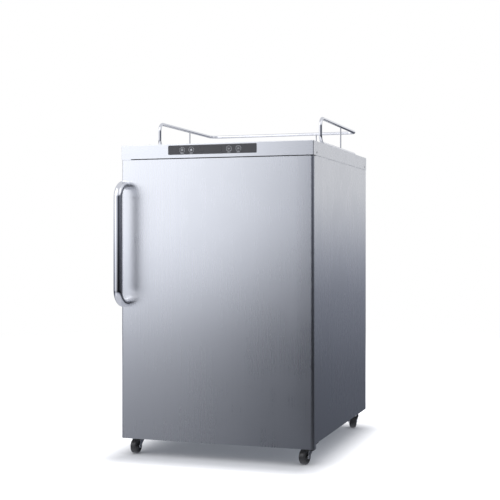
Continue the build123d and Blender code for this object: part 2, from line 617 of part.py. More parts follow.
def hinge_bracket_bottom():
    """Cranked strip under the base pan. Its pin enters the door from below."""
    high = DOOR_BOTTOM - BRACKET_UNDER_GAP
    low = high - BRACKET_SHEET
    x = (PIN_X - BRACKET_HALF, PIN_X + BRACKET_HALF)
    crank = FACE_Y + RUN_GAP
    strip = block(x, (PIN_BACK, crank + BRACKET_SHEET), (low, high))
    strip += rod((PIN_X, PIN_BACK, low), (PIN_X, PIN_BACK, high), BRACKET_HALF)
    strip += rod((PIN_X, PIN_BACK, high), (PIN_X, PIN_BACK, DOOR_BOTTOM + PIN_DEPTH), PIN_RADIUS)
    narrow = (PIN_X - LOW_FOOT_HALF, PIN_X + BRACKET_HALF)
    strip += block(narrow, (crank, crank + BRACKET_SHEET), (low, BASE_Z))
    strip += block(narrow, (crank, crank + BRACKET_FOOT), (BASE_Z - BRACKET_SHEET, BASE_Z))
    for y in BRACKET_SCREWS_LOW:
        strip -= Pos(PIN_X, y, BASE_Z) * Cylinder(SCREW_SHANK, 4 * BRACKET_SHEET)
    return strip


def hinge_blank_left():
    """Filler strip in the unused hinge place on the left, between the fascia and the door."""
    return block((-HALF + 1, -HALF + 32), (0.6, FACE_Y), (DOOR_TOP + 0.5, FASCIA_Z))


def screw(head, tip, head_radius=SCREW_HEAD, head_height=SCREW_HEAD_HEIGHT):
    """Flat-headed screw: the head's outer face is at head, and the shank ends at tip."""
    run = Vector(*tip) - Vector(*head)
    neck = Vector(*head) + run.normalized() * head_height
    return rod(head, tuple(neck), head_radius) + rod(head, tip, SCREW_SHANK)


def panel_screws():
    """Screws through the skirts into the side panels, and those of the two hinge brackets."""
    screws = []
    for y in SKIRT_SCREW_Y:
        one = screw((HALF, y, SKIRT_SCREW_Z), (FOAM_X, y, SKIRT_SCREW_Z), SCREW_HEAD)
        screws.extend(both_sides(one))
    for x, z in BRACKET_SCREWS_TOP:
        screws.append(screw((x, FACE_Y - BRACKET_SHEET - SCREW_HEAD_HEIGHT, z), (x, FACE_Y, z)))
    for y in BRACKET_SCREWS_LOW:
        low = BASE_Z - BRACKET_SHEET - SCREW_HEAD_HEIGHT
        screws.append(screw((PIN_X, y, low), (PIN_X, y, FLOOR_Z)))
    return screws


# ---------------------------------------------------------------- control panel
def control_panel():
    """Dark moulded bezel in the fascia's window, with a flange and four board posts behind it."""
    gap = PANEL_GAP
    x = (PANEL_LEFT + gap, PANEL_RIGHT - gap)
    z = (PANEL_Z[0] + gap, PANEL_Z[1] - gap)
    face = block(x, (-PANEL_PROUD, PANEL_THICK), z)
    face = fillet(face.edges().filter_by(Axis.Y), PANEL_CORNER - gap)
    face = fillet(face.edges().group_by(Axis.Y)[0], 0.5)
    flange = PANEL_FLANGE
    face += block((x[0] - flange, x[1] + flange), (WORKTOP_SHEET, PANEL_THICK), (z[0] - flange, z[1] + flange))
    for place in BUTTON_PLACES.values():
        face -= rod((place, -PANEL_PROUD - 1, BUTTON_Z), (place, PANEL_THICK + 1, BUTTON_Z),
                    BUTTON_RADIUS + BUTTON_GAP)
    face -= display_box(gap)
    for post in (x[0] + 6, x[1] - 6):
        for z_post in (BUTTON_Z - 8, BUTTON_Z + 8):
            face += rod((post, PANEL_THICK, z_post), (post, BOARD_BACK, z_post), BOARD_POST)
    return face


def display_box(gap):
    return block((DISPLAY_LEFT - gap, DISPLAY_RIGHT + gap), (-PANEL_PROUD - gap, PANEL_THICK),
                 (BUTTON_Z - DISPLAY_HEIGHT / 2 - gap, BUTTON_Z + DISPLAY_HEIGHT / 2 + gap))


def display_window():
    return block((DISPLAY_LEFT, DISPLAY_RIGHT), (-PANEL_PROUD, PANEL_THICK),
                 (BUTTON_Z - DISPLAY_HEIGHT / 2, BUTTON_Z + DISPLAY_HEIGHT / 2))


def button(place):
    """Round key: a domed cap, a retaining flange behind the bezel and a stem."""
    cap = rod((place, -PANEL_PROUD - KEY_PROUD, BUTTON_Z), (place, BUTTON_BACK, BUTTON_Z), BUTTON_RADIUS)
    cap = fillet(cap.edges().group_by(Axis.Y)[0], 0.5)
    cap += rod((place, PANEL_THICK + RUN_GAP, BUTTON_Z), (place, BUTTON_BACK, BUTTON_Z),
               BUTTON_RADIUS + KEY_FLANGE[0])
    return cap + rod((place, BUTTON_BACK, BUTTON_Z), (place, STEM_END, BUTTON_Z), 2.0)


def control_board():
    """Circuit board with a switch behind each key and the display's block."""
    board = block((PANEL_LEFT + 3, PANEL_RIGHT - 3), (BOARD_BACK, BOARD_BACK + BOARD_THICK),
                  (BUTTON_Z - 11, BUTTON_Z + 11))
    for place in BUTTON_PLACES.values():
        board += block((place - SWITCH_HALF, place + SWITCH_HALF), (SWITCH_FRONT, BOARD_BACK),
                       (BUTTON_Z - SWITCH_HALF, BUTTON_Z + SWITCH_HALF))
    board += block((DISPLAY_LEFT + 4, DISPLAY_RIGHT - 4), (PANEL_THICK + 1, BOARD_BACK),
                   (BUTTON_Z - 6, BUTTON_Z + 6))
    for at in (0.2, 0.5, 0.8):
        x = PANEL_LEFT + at * (PANEL_RIGHT - PANEL_LEFT)
        board += block((x - 7, x + 7), (BOARD_BACK + BOARD_THICK, BOARD_BACK + 6), (BUTTON_Z - 6, BUTTON_Z + 6))
    return board


# ---------------------------------------------------------------- casters
def caster_place(name):
    """Where a caster's swivel axis meets the floor, and how far its wheel has turned."""
    side, at_rear, turn = CASTERS[name]
    return Pos(side * CASTER_X, CASTER_REAR_Y if at_rear else CASTER_FRONT, 0) * Rot(0, 0, turn)


def caster_wheel():
    """Solid wheel with a rounded tread and a raised hub on each side. Its axle lies along x."""
    tread = rod((-WHEEL_WIDTH / 2, -TRAIL, WHEEL_RADIUS), (WHEEL_WIDTH / 2, -TRAIL, WHEEL_RADIUS), WHEEL_RADIUS)
    tread = fillet(tread.edges().filter_by(GeomType.CIRCLE), TREAD_ROUND)
    for side in (-1, 1):
        rim = side * WHEEL_WIDTH / 2
        tread -= ring((rim, -TRAIL, WHEEL_RADIUS), (rim - side * 3, -TRAIL, WHEEL_RADIUS), 15.0, 8.0)
    hub = WHEEL_WIDTH / 2 + FORK_SIDE_GAP - RUN_GAP
    tread += rod((-hub, -TRAIL, WHEEL_RADIUS), (hub, -TRAIL, WHEEL_RADIUS), 5.5)
    return tread - rod((-hub - 1, -TRAIL, WHEEL_RADIUS), (hub + 1, -TRAIL, WHEEL_RADIUS), AXLE_RADIUS + PIN_FIT)


def caster_fork():
    """Pressed fork: crown, ball race and two legs, with the riveted axle as a second solid."""
    inside = WHEEL_WIDTH / 2 + FORK_SIDE_GAP
    outside = inside + FORK_SHEET
    crown = block((-outside, outside), (-15, 12), (FORK_TOP - FORK_SHEET, FORK_TOP))
    crown = fillet(crown.edges().filter_by(Axis.Z), 5)
    crown += rod((0, 0, FORK_TOP), (0, 0, RACE_TOP - RUN_GAP), RACE_RADIUS)
    outline = make_face(Polyline((12, FORK_TOP), (12, FORK_TOP - 8), (-TRAIL + FORK_FOOT, WHEEL_RADIUS),
                                 (-TRAIL - FORK_FOOT, WHEEL_RADIUS), (-17, FORK_TOP - 8), (-15, FORK_TOP),
                                 close=True))
    outline += Pos(-TRAIL, WHEEL_RADIUS) * Circle(FORK_FOOT)
    leg = extrude(Plane.YZ.offset(inside) * outline, FORK_SHEET)
    leg -= rod((0, -TRAIL, WHEEL_RADIUS), (2 * outside, -TRAIL, WHEEL_RADIUS), AXLE_RADIUS)
    fork = crown + leg + mirror(leg, Plane.YZ)
    fork -= rod((0, 0, 0), (0, 0, RACE_TOP), KINGPIN_RADIUS + PIN_FIT)
    axle = rod((-outside, -TRAIL, WHEEL_RADIUS), (outside, -TRAIL, WHEEL_RADIUS), AXLE_RADIUS)
    for side in (-1, 1):
        axle += rod((side * outside, -TRAIL, WHEEL_RADIUS), (side * (outside + 1.6), -TRAIL, WHEEL_RADIUS), 5.0)
    return [fork, axle]


def caster_plate():
    """Mounting plate with the upper race and the king pin, whose head holds the fork."""
    half_x, half_y = CASTER_PLATE[0] / 2, CASTER_PLATE[1] / 2
    plate = block((-half_x, half_x), (-half_y, half_y), (PLATE_UNDER, BASE_Z))
    plate = round_upright(plate, 5)
    plate += rod((0, 0, RACE_TOP), (0, 0, PLATE_UNDER), RACE_RADIUS + 2)
    head_top = FORK_TOP - FORK_SHEET - RUN_GAP
    plate += rod((0, 0, head_top - 2.5), (0, 0, RACE_TOP), KINGPIN_RADIUS)
    plate += rod((0, 0, head_top - 2.5), (0, 0, head_top), KINGPIN_RADIUS + 2.5)
    for dx, dy in CASTER_SCREWS:
        plate -= Pos(dx, dy, PLATE_UNDER) * Cylinder(CASTER_SCREW, 4 * CASTER_PLATE[2])
    return plate


def caster_parts(make):
    """The same fixed piece at each of the four casters, square to the cabinet."""
    made = []
    for side, at_rear, _ in CASTERS.values():
        y = CASTER_REAR_Y if at_rear else CASTER_FRONT
        made.extend(Pos(side * CASTER_X, y, 0) * piece for piece in make())
    return made


def caster_screws():
    screws = []
    for dx, dy in CASTER_SCREWS:
        one = rod((dx, dy, PLATE_UNDER - 3), (dx, dy, FLOOR_Z), CASTER_SCREW)
        hexagon = Pos(dx, dy, PLATE_UNDER - 3) * extrude(RegularPolygon(4.4, 6), 3)
        screws.append(one + hexagon)
    return screws


# ---------------------------------------------------------------- refrigeration
def compressor():
    """Hermetic shell: two pressed halves with a welded seam, on a foot plate, with three stubs."""
    rx, ry = COMPRESSOR_RADII
    centre = Pos(COMPRESSOR_RIGHT, COMPRESSOR_Y, COMPRESSOR_Z)
    shell = centre * extrude(Ellipse(rx, ry), COMPRESSOR_HEIGHT)
    shell = fillet(shell.edges().group_by(Axis.Z)[-1], 28)
    shell = fillet(shell.edges().group_by(Axis.Z)[0], 16)
    seam = centre * Pos(0, 0, COMPRESSOR_HEIGHT * 0.55) * extrude(Ellipse(rx + 2.5, ry + 2.5), 4)
    x, y = COMPRESSOR_RIGHT, COMPRESSOR_Y
    foot = block((x - 94, x + 94), (y - 46, y + 46), (COMPRESSOR_Z - 3, COMPRESSOR_Z))
    foot = round_upright(foot, 10)
    for fx, fy in grommet_places():
        foot -= Pos(fx, fy, COMPRESSOR_Z) * Cylinder(5.0, 20)
    stubs = rod((x - rx + 6, y + 12, SUCTION_START), (x - rx - 10, y + 12, SUCTION_START), SUCTION_RADIUS + 1)
    stubs += rod((x - rx + 6, y - 14, SUCTION_START), (x - rx - 10, y - 14, SUCTION_START), TUBE_RADIUS + 1)
    return shell + seam + foot + stubs


def grommet_places():
    x, y = COMPRESSOR_RIGHT, COMPRESSOR_Y
    return [(x + sx * 82, y + sy * 34) for sx in (-1, 1) for sy in (-1, 1)]


def compressor_grommets():
    """Rubber feet, waisted where the foot plate grips them."""
    feet = []
    for x, y in grommet_places():
        foot = rod((x, y, FLOOR_Z), (x, y, COMPRESSOR_Z - 3), 9.0)
        foot += rod((x, y, COMPRESSOR_Z - 3), (x, y, COMPRESSOR_Z), 5.0)
        foot += rod((x, y, COMPRESSOR_Z), (x, y, COMPRESSOR_Z + 3), 8.0)
        feet.append(foot)
    return feet


def start_relay():
    """Terminal box on the compressor's right-hand end."""
    x = COMPRESSOR_RIGHT + COMPRESSOR_RADII[0] + 3
    box = block((x, x + 38), (COMPRESSOR_Y - 24, COMPRESSOR_Y + 24), (COMPRESSOR_Z + 30, COMPRESSOR_Z + 92))
    return fillet(box.edges(), 3)


def condenser():
    """Serpentine of tube, a grid of wires behind it and four clips to the rear panel."""
    points = []
    for run in range(COIL_RUNS):
        z = COIL_Z + run * COIL_PITCH
        ends = (-COIL_HALF, COIL_HALF) if run % 2 == 0 else (COIL_HALF, -COIL_HALF)
        points.extend((x, COIL_Y, z) for x in ends)
    coil = bent_bar(points, COIL_PITCH * 0.42, TUBE_RADIUS)
    pieces = [coil]
    top = COIL_Z + (COIL_RUNS - 1) * COIL_PITCH
    wire_y = COIL_Y + TUBE_RADIUS + WIRE_RADIUS
    reach = COIL_HALF - COIL_PITCH * 0.5
    for index in range(WIRE_COUNT):
        x = -reach + 2 * reach * index / (WIRE_COUNT - 1)
        pieces.append(rod((x, wire_y, COIL_Z - 12), (x, wire_y, top + 12), WIRE_RADIUS))
    for x in (-reach + 8, reach - 8):
        for z in (COIL_Z + COIL_PITCH, top - COIL_PITCH):
            clip = block((x - 5, x + 5), (REAR_FACE, COIL_Y), (z - 6, z + 6)) - coil
            pieces.append(clip.solids().sort_by(Axis.Y)[0])
    return pieces


def filter_drier():
    """Copper can with drawn-down ends, clipped upright in the machine space."""
    x, y = DRIER
    can = rod((x, y, FLOOR_Z + 40), (x, y, FLOOR_Z + 130), 9.0)
    can = fillet(can.edges().filter_by(GeomType.CIRCLE), 6)
    can += rod((x, y, FLOOR_Z + 28), (x, y, FLOOR_Z + 41), 3.5)
    return can + rod((x, y, FLOOR_Z + 129), (x, y, FLOOR_Z + 142), 3.5)


def refrigerant_lines():
    """Discharge line to the condenser, liquid line to the drier and insulated suction line."""
    stub_x = COMPRESSOR_RIGHT - COMPRESSOR_RADII[0] - 10
    low_y = COMPRESSOR_Y - 14
    out_z = MACHINE_TOP - 50
    discharge = bent_bar([
        (stub_x, low_y, SUCTION_START),
        (stub_x - 30, low_y, SUCTION_START),
        (stub_x - 30, low_y, out_z),
        (stub_x - 30, COIL_Y, out_z),
        (-COIL_HALF - 12, COIL_Y, out_z),
        (-COIL_HALF - 12, COIL_Y, COIL_Z),
        (-COIL_HALF, COIL_Y, COIL_Z),
    ], 10, TUBE_RADIUS)
    top_z = COIL_Z + (COIL_RUNS - 1) * COIL_PITCH
    back_z = MACHINE_TOP - 20
    liquid = bent_bar([
        (COIL_HALF, COIL_Y, top_z),
        (COIL_HALF + 16, COIL_Y, top_z),
        (COIL_HALF + 16, COIL_Y, back_z),
        (DRIER[0], COIL_Y, back_z),
        (DRIER[0], DRIER[1], back_z),
        (DRIER[0], DRIER[1], FLOOR_Z + 142),
    ], 10, TUBE_RADIUS)
    back = COIL_Y - 4
    suction = bent_bar([
        (stub_x, COMPRESSOR_Y + 12, SUCTION_START),
        (stub_x - 40, COMPRESSOR_Y + 12, SUCTION_START),
        (stub_x - 40, COMPRESSOR_Y + 12, SUCTION_START - 45),
        (-SUCTION_LEFT, COMPRESSOR_Y + 12, SUCTION_START - 45),
        (-SUCTION_LEFT, COMPRESSOR_Y + 12, MACHINE_TOP - 30),
        (-SUCTION_LEFT, back, MACHINE_TOP - 30),
        (-SUCTION_LEFT, back, SUCTION_Z),
        (-SUCTION_LEFT, COVER_Y + 30, SUCTION_Z),
        (EVAPORATOR_X[0], COVER_Y + 30, SUCTION_Z),
    ], 11, SUCTION_RADIUS)
    return [discharge, liquid, suction]


def evaporator():
    """Finned block: a stack of thin plates on a common core."""
    y = (COVER_Y + 12, CAVITY_REAR - 8)
    z = (COVER_Z[0] + 18, COVER_Z[1] - 18)
    core = block((EVAPORATOR_X[0], EVAPORATOR_X[1]), (y[0] + 10, y[1] - 10), (z[0] + 8, z[1] - 8))
    for index in range(FIN_COUNT):
        x = EVAPORATOR_X[0] + 6 + (EVAPORATOR_X[1] - EVAPORATOR_X[0] - 12) * index / (FIN_COUNT - 1)
        core += block((x - 0.6, x + 0.6), y, z)
    for z_foot in (z[0] + 20, z[1] - 20):
        x_mid = (EVAPORATOR_X[0] + EVAPORATOR_X[1]) / 2
        core += block((x_mid - 8, x_mid + 8), (y[1] - 11, CAVITY_REAR), (z_foot - 5, z_foot + 5))
    return core


def evaporator_cover():
    """Moulded box on the rear wall, open behind, with a ringed fan grille and outlet slots."""
    x = (-COVER_HALF, COVER_HALF)
    outer = block(x, (COVER_Y, CAVITY_REAR), COVER_Z)
    outer = fillet(outer.edges().group_by(Axis.Y)[0], 6)
    wall = COVER_WALL
    cover = outer - block((x[0] + wall, x[1] - wall), (COVER_Y + wall, CAVITY_REAR),
                          (COVER_Z[0] + wall, COVER_Z[1] - wall))
    for inner in (14.0, 26.0, 38.0):
        slot = ring((FAN_RIGHT, COVER_Y - 1, FAN_Z), (FAN_RIGHT, COVER_Y + wall + 1, FAN_Z), inner + 9, inner)
        for angle in (0, 60, 120):
            spoke = Box(3, 8, 2.2 * FAN_GRILLE)
            slot -= Pos(FAN_RIGHT, COVER_Y, FAN_Z) * Rot(0, angle, 0) * spoke
        cover -= slot
    for index in range(6):
        z = COVER_Z[0] + 40 + index * 26
        cover -= block((-140, -20), (COVER_Y - 1, COVER_Y + wall + 1), (z, z + 7))
    cover -= rod((x[0] - 1, COVER_Y + 30, SUCTION_Z), (x[0] + wall + 1, COVER_Y + 30, SUCTION_Z),
                 SUCTION_RADIUS + 1)
    return cover


def fan_blade():
    """Five-bladed fan that turns on the motor's shaft."""
    hub = rod((FAN_RIGHT, FAN_Y, FAN_Z), (FAN_RIGHT, FAN_Y + FAN_DEPTH, FAN_Z), FAN_HUB)
    hub = fillet(hub.edges().group_by(Axis.Y)[0], 3)
    for index in range(FAN_BLADES):
        blade = Pos(26, 0, 0) * Rot(28, 0, 0) * Box(34, 1.6, 22)
        hub += Pos(FAN_RIGHT, FAN_Y + 7, FAN_Z) * Rot(0, index * 360 / FAN_BLADES, 0) * blade
    envelope = rod((FAN_RIGHT, FAN_Y - 1, FAN_Z), (FAN_RIGHT, FAN_Y + FAN_DEPTH + 1, FAN_Z), FAN_RADIUS)
    bore = rod((FAN_RIGHT, FAN_Y + 3, FAN_Z), (FAN_RIGHT, FAN_Y + FAN_DEPTH + 1, FAN_Z),
               SHAFT_RADIUS + PIN_FIT)
    return (hub & envelope) - bore


def fan_motor():
    """Motor can with its shaft, on a cross strap with two posts to the rear wall."""
    front = FAN_Y + FAN_DEPTH + 1.0
    motor = rod((FAN_RIGHT, front, FAN_Z), (FAN_RIGHT, front + 20, FAN_Z), 17.0)
    motor += rod((FAN_RIGHT, FAN_Y + 4, FAN_Z), (FAN_RIGHT, front, FAN_Z), SHAFT_RADIUS)
    strap = (front + 17, front + 20)
    motor += block((FAN_RIGHT - 52, FAN_RIGHT + 52), strap, (FAN_Z - 7, FAN_Z + 7))
    for side in (-1, 1):
        motor += rod((FAN_RIGHT + side * 46, strap[1], FAN_Z), (FAN_RIGHT + side * 46, CAVITY_REAR, FAN_Z), 5.0)
    return motor


def interior_lamp():
    """Flat lamp with a ribbed lens under the ceiling, near the door."""
    wide, deep, tall = LAMP_SIZE
    front = PLUG_Y + LAMP_BACK
    lamp = block((-wide / 2, wide / 2), (front, front + deep), (CAVITY_TOP - tall, CAVITY_TOP))
    lamp = fillet(lamp.edges().group_by(Axis.Z)[0], 4)
    return lamp


def temperature_probe():
    """Sensor capsule in its clip on the right-hand wall."""
    x = CAVITY_X - PROBE_STANDOFF
    y = TOWER_BACK + PROBE_BACK
    z = (CAVITY_FLOOR + CAVITY_TOP) / 2
    probe = rod((x, y, z - 16), (x, y, z + 16), PROBE_RADIUS)
    return probe + block((x, CAVITY_X), (y - 5, y + 5), (z - 6, z + 6))


def drain_tray():
    """Shallow dish on the compressor, where defrost water dries off."""
    z = COMPRESSOR_Z + COMPRESSOR_HEIGHT
    x = COMPRESSOR_RIGHT
    tray = block((x - 52, x + 52), (COMPRESSOR_Y - 34, COMPRESSOR_Y + 34), (z, z + 18))
    tray = round_upright(tray, 12)
    hollow = block((x - 50, x + 50), (COMPRESSOR_Y - 32, COMPRESSOR_Y + 32), (z + 2, z + 18))
    return tray - round_upright(hollow, 10)


def power_gland():
    """Cord entry: a bracket on the base pan with a round flanged gland. The cord isn't part of it."""
    x = -FOAM_X + GLAND_INSET
    y = DEPTH - 22
    z = FLOOR_Z + GLAND_LIFT
    bracket = block((x - 18, x + 18), (y, y + 2), (FLOOR_Z, FLOOR_Z + 54))
    bracket += block((x - 18, x + 18), (y - 18, y), (FLOOR_Z, FLOOR_Z + 2))
    bracket += rod((x, y - 10, z), (x, y + 12, z), 8.5)
    bracket += rod((x, y + 2, z), (x, y + 5, z), 12.0)
    return bracket - rod((x, y - 11, z), (x, y + 13, z), 4.2)


# ---------------------------------------------------------------- all nodes
def build():
    os.makedirs("parts", exist_ok=True)
    rail = guard_rail()
    save("worktop", worktop())
    save("guard_rail", rail)
    save("rail_pickets", rail_pickets(rail))
    save("rail_feet", rail_feet(rail))
    save("side_panel_left", side_panel(-1))
    save("side_panel_right", side_panel(1))
    save("rear_panel", rear_panel())
    save("front_rail", front_rail())
    save("base_pan", base_pan())
    save("insulation_walls", insulation_walls())
    save("insulation_base", insulation_base())
    save("insulation_top", insulation_top())
    save("liner_walls", liner_walls())
    save("liner_ceiling", liner_ceiling())
    save("liner_base", liner_base())
    save("keg_floor_plate", keg_floor_plate())
    save("tower_sleeve", tower_sleeve())
    save("gas_port_sleeve", gas_port_sleeve())
    save("hinge_bracket_top", hinge_bracket_top())
    save("hinge_bracket_bottom", hinge_bracket_bottom())
    save("hinge_blank_left", hinge_blank_left())
    save("panel_screws", panel_screws())
    save("control_panel", control_panel())
    save("display_window", display_window())
    save("control_board", control_board())
    for name, place in BUTTON_PLACES.items():
        save("button_" + name, button(place))
    save("door_skin", door_skin())
    save("door_end_caps", door_end_caps())
    save("door_insulation", door_insulation())
    save("door_liner", door_liner())
    save("door_gasket", door_gasket())
    save("door_handle", door_handle())
    save("handle_bolts", handle_bolts())
    save("caster_plates", caster_parts(lambda: [caster_plate()]))
    save("caster_screws", caster_parts(caster_screws))
    for name in CASTERS:
        save("caster_fork_" + name, [caster_place(name) * piece for piece in caster_fork()])
        save("caster_wheel_" + name, caster_place(name) * caster_wheel())
    save("compressor", compressor())
    save("compressor_grommets", compressor_grommets())
    save("start_relay", start_relay())
    save("condenser", condenser())
    save("filter_drier", filter_drier())
    save("refrigerant_lines", refrigerant_lines())
    save("evaporator", evaporator())
    save("evaporator_cover", evaporator_cover())
    save("fan_blade", fan_blade())
    save("fan_motor", fan_motor())
    save("interior_lamp", interior_lamp())
    save("temperature_probe", temperature_probe())
    save("drain_tray", drain_tray())
    save("power_gland", power_gland())


build()
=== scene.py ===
import json
import math

import bmesh
import bpy
import numpy as np
from bpy.props import FloatProperty, FloatVectorProperty, IntProperty, PointerProperty
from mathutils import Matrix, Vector


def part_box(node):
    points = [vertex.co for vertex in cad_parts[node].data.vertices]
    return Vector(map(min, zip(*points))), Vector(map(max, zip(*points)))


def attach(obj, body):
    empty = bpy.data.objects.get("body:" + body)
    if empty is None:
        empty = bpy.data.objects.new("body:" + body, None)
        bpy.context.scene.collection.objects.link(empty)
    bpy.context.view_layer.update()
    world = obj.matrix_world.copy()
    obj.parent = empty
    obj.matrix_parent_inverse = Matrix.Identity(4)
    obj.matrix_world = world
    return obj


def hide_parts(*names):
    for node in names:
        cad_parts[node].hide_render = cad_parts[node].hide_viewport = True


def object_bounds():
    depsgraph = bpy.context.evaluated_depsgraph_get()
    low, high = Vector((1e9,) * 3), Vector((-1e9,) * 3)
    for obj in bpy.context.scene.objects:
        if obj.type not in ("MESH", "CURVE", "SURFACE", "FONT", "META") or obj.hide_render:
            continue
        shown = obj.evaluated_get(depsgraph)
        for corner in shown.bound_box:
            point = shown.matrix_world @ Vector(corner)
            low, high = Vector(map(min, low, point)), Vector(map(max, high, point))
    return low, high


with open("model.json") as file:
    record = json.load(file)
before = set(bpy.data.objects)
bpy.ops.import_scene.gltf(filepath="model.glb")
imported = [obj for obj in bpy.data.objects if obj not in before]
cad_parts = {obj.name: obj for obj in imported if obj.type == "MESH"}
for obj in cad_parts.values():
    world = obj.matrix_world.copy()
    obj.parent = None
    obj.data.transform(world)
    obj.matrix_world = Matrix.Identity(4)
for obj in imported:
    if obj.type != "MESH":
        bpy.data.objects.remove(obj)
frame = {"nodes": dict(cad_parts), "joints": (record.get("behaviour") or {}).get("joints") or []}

bl_info = {
    "name": "Keg cooler",
    "version": (1, 0, 0),
    "blender": (4, 5, 0),
    "location": "View3D > Sidebar > Keg cooler",
    "description": "Finishes and visible pieces of a stainless keg cooler, built round its fixed frame",
    "category": "Object",
}

GRAIN = "grain depth"
BOX_LOW, BOX_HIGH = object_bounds()
CABINET = "cabinet"
DOOR = "door"
FAN = "fan"


# ------------------------------------------------------------------ places read from the frame
def node_points(node):
    """A node's vertices as an (n, 3) array, in metres."""
    mesh = frame["nodes"][node].data
    flat = np.empty(len(mesh.vertices) * 3)
    mesh.vertices.foreach_get("co", flat)
    return flat.reshape(-1, 3)


def solid_boxes(node):
    """Boxes (low, high) of a node's separate solids.

    Equal corners are merged, then every triangle passes its smallest label to its three corners until
    nothing changes, so each solid keeps one label."""
    mesh = frame["nodes"][node].data
    points = node_points(node)
    corner = np.empty(len(mesh.loops), dtype=np.int64)
    mesh.loops.foreach_get("vertex_index", corner)
    grid = np.round(points * 1e6).astype(np.int64)
    _, merged = np.unique(grid, axis=0, return_inverse=True)
    triangle = merged.ravel()[corner].reshape(-1, 3)
    label = np.arange(merged.max() + 1)
    while True:
        spread = label.copy()
        np.minimum.at(spread, triangle.ravel(), np.repeat(label[triangle].min(axis=1), 3))
        spread = spread[spread]
        if np.array_equal(spread, label):
            break
        label = spread
    owner = label[merged.ravel()]
    solids = [points[owner == one] for one in np.unique(owner)]
    boxes = [(solid.min(axis=0), solid.max(axis=0)) for solid in solids]
    return sorted(boxes, key=lambda pair: tuple(np.round(pair[0], 5)))


def node_box(node):
    """A node's low and high corners as arrays."""
    low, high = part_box(node)
    return np.array(low), np.array(high)


def joint_line(name):
    """Where a joint of the frame stands and the unit vector of its axis."""
    joint = next(one for one in frame["joints"] if one["name"] == name)
    axis = np.array(joint["axis"], dtype=float)
    return np.array(joint["pos_m"], dtype=float), axis / np.linalg.norm(axis)


def placed(name, data):
    """An object of the scene that holds a mesh, a light or a camera."""
    made = bpy.data.objects.new(name, data)
    bpy.context.scene.collection.objects.link(made)
    return made


# ------------------------------------------------------------------ surfaces worked out with numpy
def grid_faces(rows, columns, wrap_rows, wrap_columns):
    """Quads between neighbours of a rows by columns grid; a wrapped direction also joins last to first."""
    row = np.arange(rows if wrap_rows else rows - 1)
    column = np.arange(columns if wrap_columns else columns - 1)
    i, j = np.meshgrid(row, column, indexing="ij")
    below = (i + 1) % rows
    right = (j + 1) % columns
    first, second = i * columns, below * columns
    quads = np.stack([first + j, first + right, second + right, second + j], -1)
    return quads.reshape(-1, 4)


def cap_faces(first, columns, centre, outward):
    """Triangles from a ring of vertices that starts at index first to one centre vertex."""
    ring = first + np.arange(columns)
    following = first + (np.arange(columns) + 1) % columns
    middle = np.full(columns, centre)
    order = [ring, following, middle] if outward else [following, ring, middle]
    return np.stack(order, -1)


def skin(points, wrap_rows=False, wrap_columns=True, capped=True):
    """Vertices and faces of a (rows, columns, 3) grid of points.

    A grid that is open along its rows is closed at both ends by a fan to each end ring's middle."""
    rows, columns, _ = points.shape
    vertices = points.reshape(-1, 3)
    faces = [grid_faces(rows, columns, wrap_rows, wrap_columns)]
    if capped and not wrap_rows:
        ends = np.stack([points[0].mean(axis=0), points[-1].mean(axis=0)])
        vertices = np.concatenate([vertices, ends])
        faces.append(cap_faces(0, columns, rows * columns, False))
        faces.append(cap_faces((rows - 1) * columns, columns, rows * columns + 1, True))
    return vertices, faces


def joined(parts):
    """Several (vertices, faces) pairs as one pair."""
    all_vertices, all_faces, count = [], [], 0
    for vertices, faces in parts:
        all_vertices.append(vertices)
        all_faces.extend(face + count for face in faces)
        count += len(vertices)
    return np.concatenate(all_vertices), all_faces


def piece(name, shape, body, material, replaced=(), smooth_below=50.0):
    """Makes one named piece from vertices and faces, gives it its finish and hangs it on its body.

    Edges between faces that meet at more than smooth_below degrees stay sharp."""
    vertices, faces = shape
    mesh = bpy.data.meshes.new(name)
    mesh.from_pydata(vertices.tolist(), [], [face for group in faces for face in group.tolist()])
    mesh.validate()
    made = placed(name, mesh)
    outward(mesh)
    mesh.shade_smooth()
    mesh.set_sharp_from_angle(angle=math.radians(smooth_below))
    mesh.materials.append(material)
    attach(made, body)
    if replaced:
        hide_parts(*replaced)
    return made


def outward(mesh):
    """Turns every face of a closed mesh outwards."""
    work = bmesh.new()
    work.from_mesh(mesh)
    bmesh.ops.remove_doubles(work, verts=work.verts, dist=1e-6)
    bmesh.ops.recalc_face_normals(work, faces=work.faces)
    work.to_mesh(mesh)
    work.free()


def turned(vectors, axis, angles):
    """Vectors turned about a unit axis by an array of angles, after Rodrigues' formula."""
    angles = np.atleast_1d(angles)[:, None]
    along = axis * (vectors @ axis)
    side = np.cross(axis, vectors)
    return vectors * np.cos(angles) + side * np.sin(angles) + along * (1 - np.cos(angles))


def square_to(axis):
    """A unit vector square to a unit axis."""
    guide = np.array([0.0, 0.0, 1.0]) if abs(axis[2]) < 0.9 else np.array([1.0, 0.0, 0.0])
    across = np.cross(axis, guide)
    return across / np.linalg.norm(across)


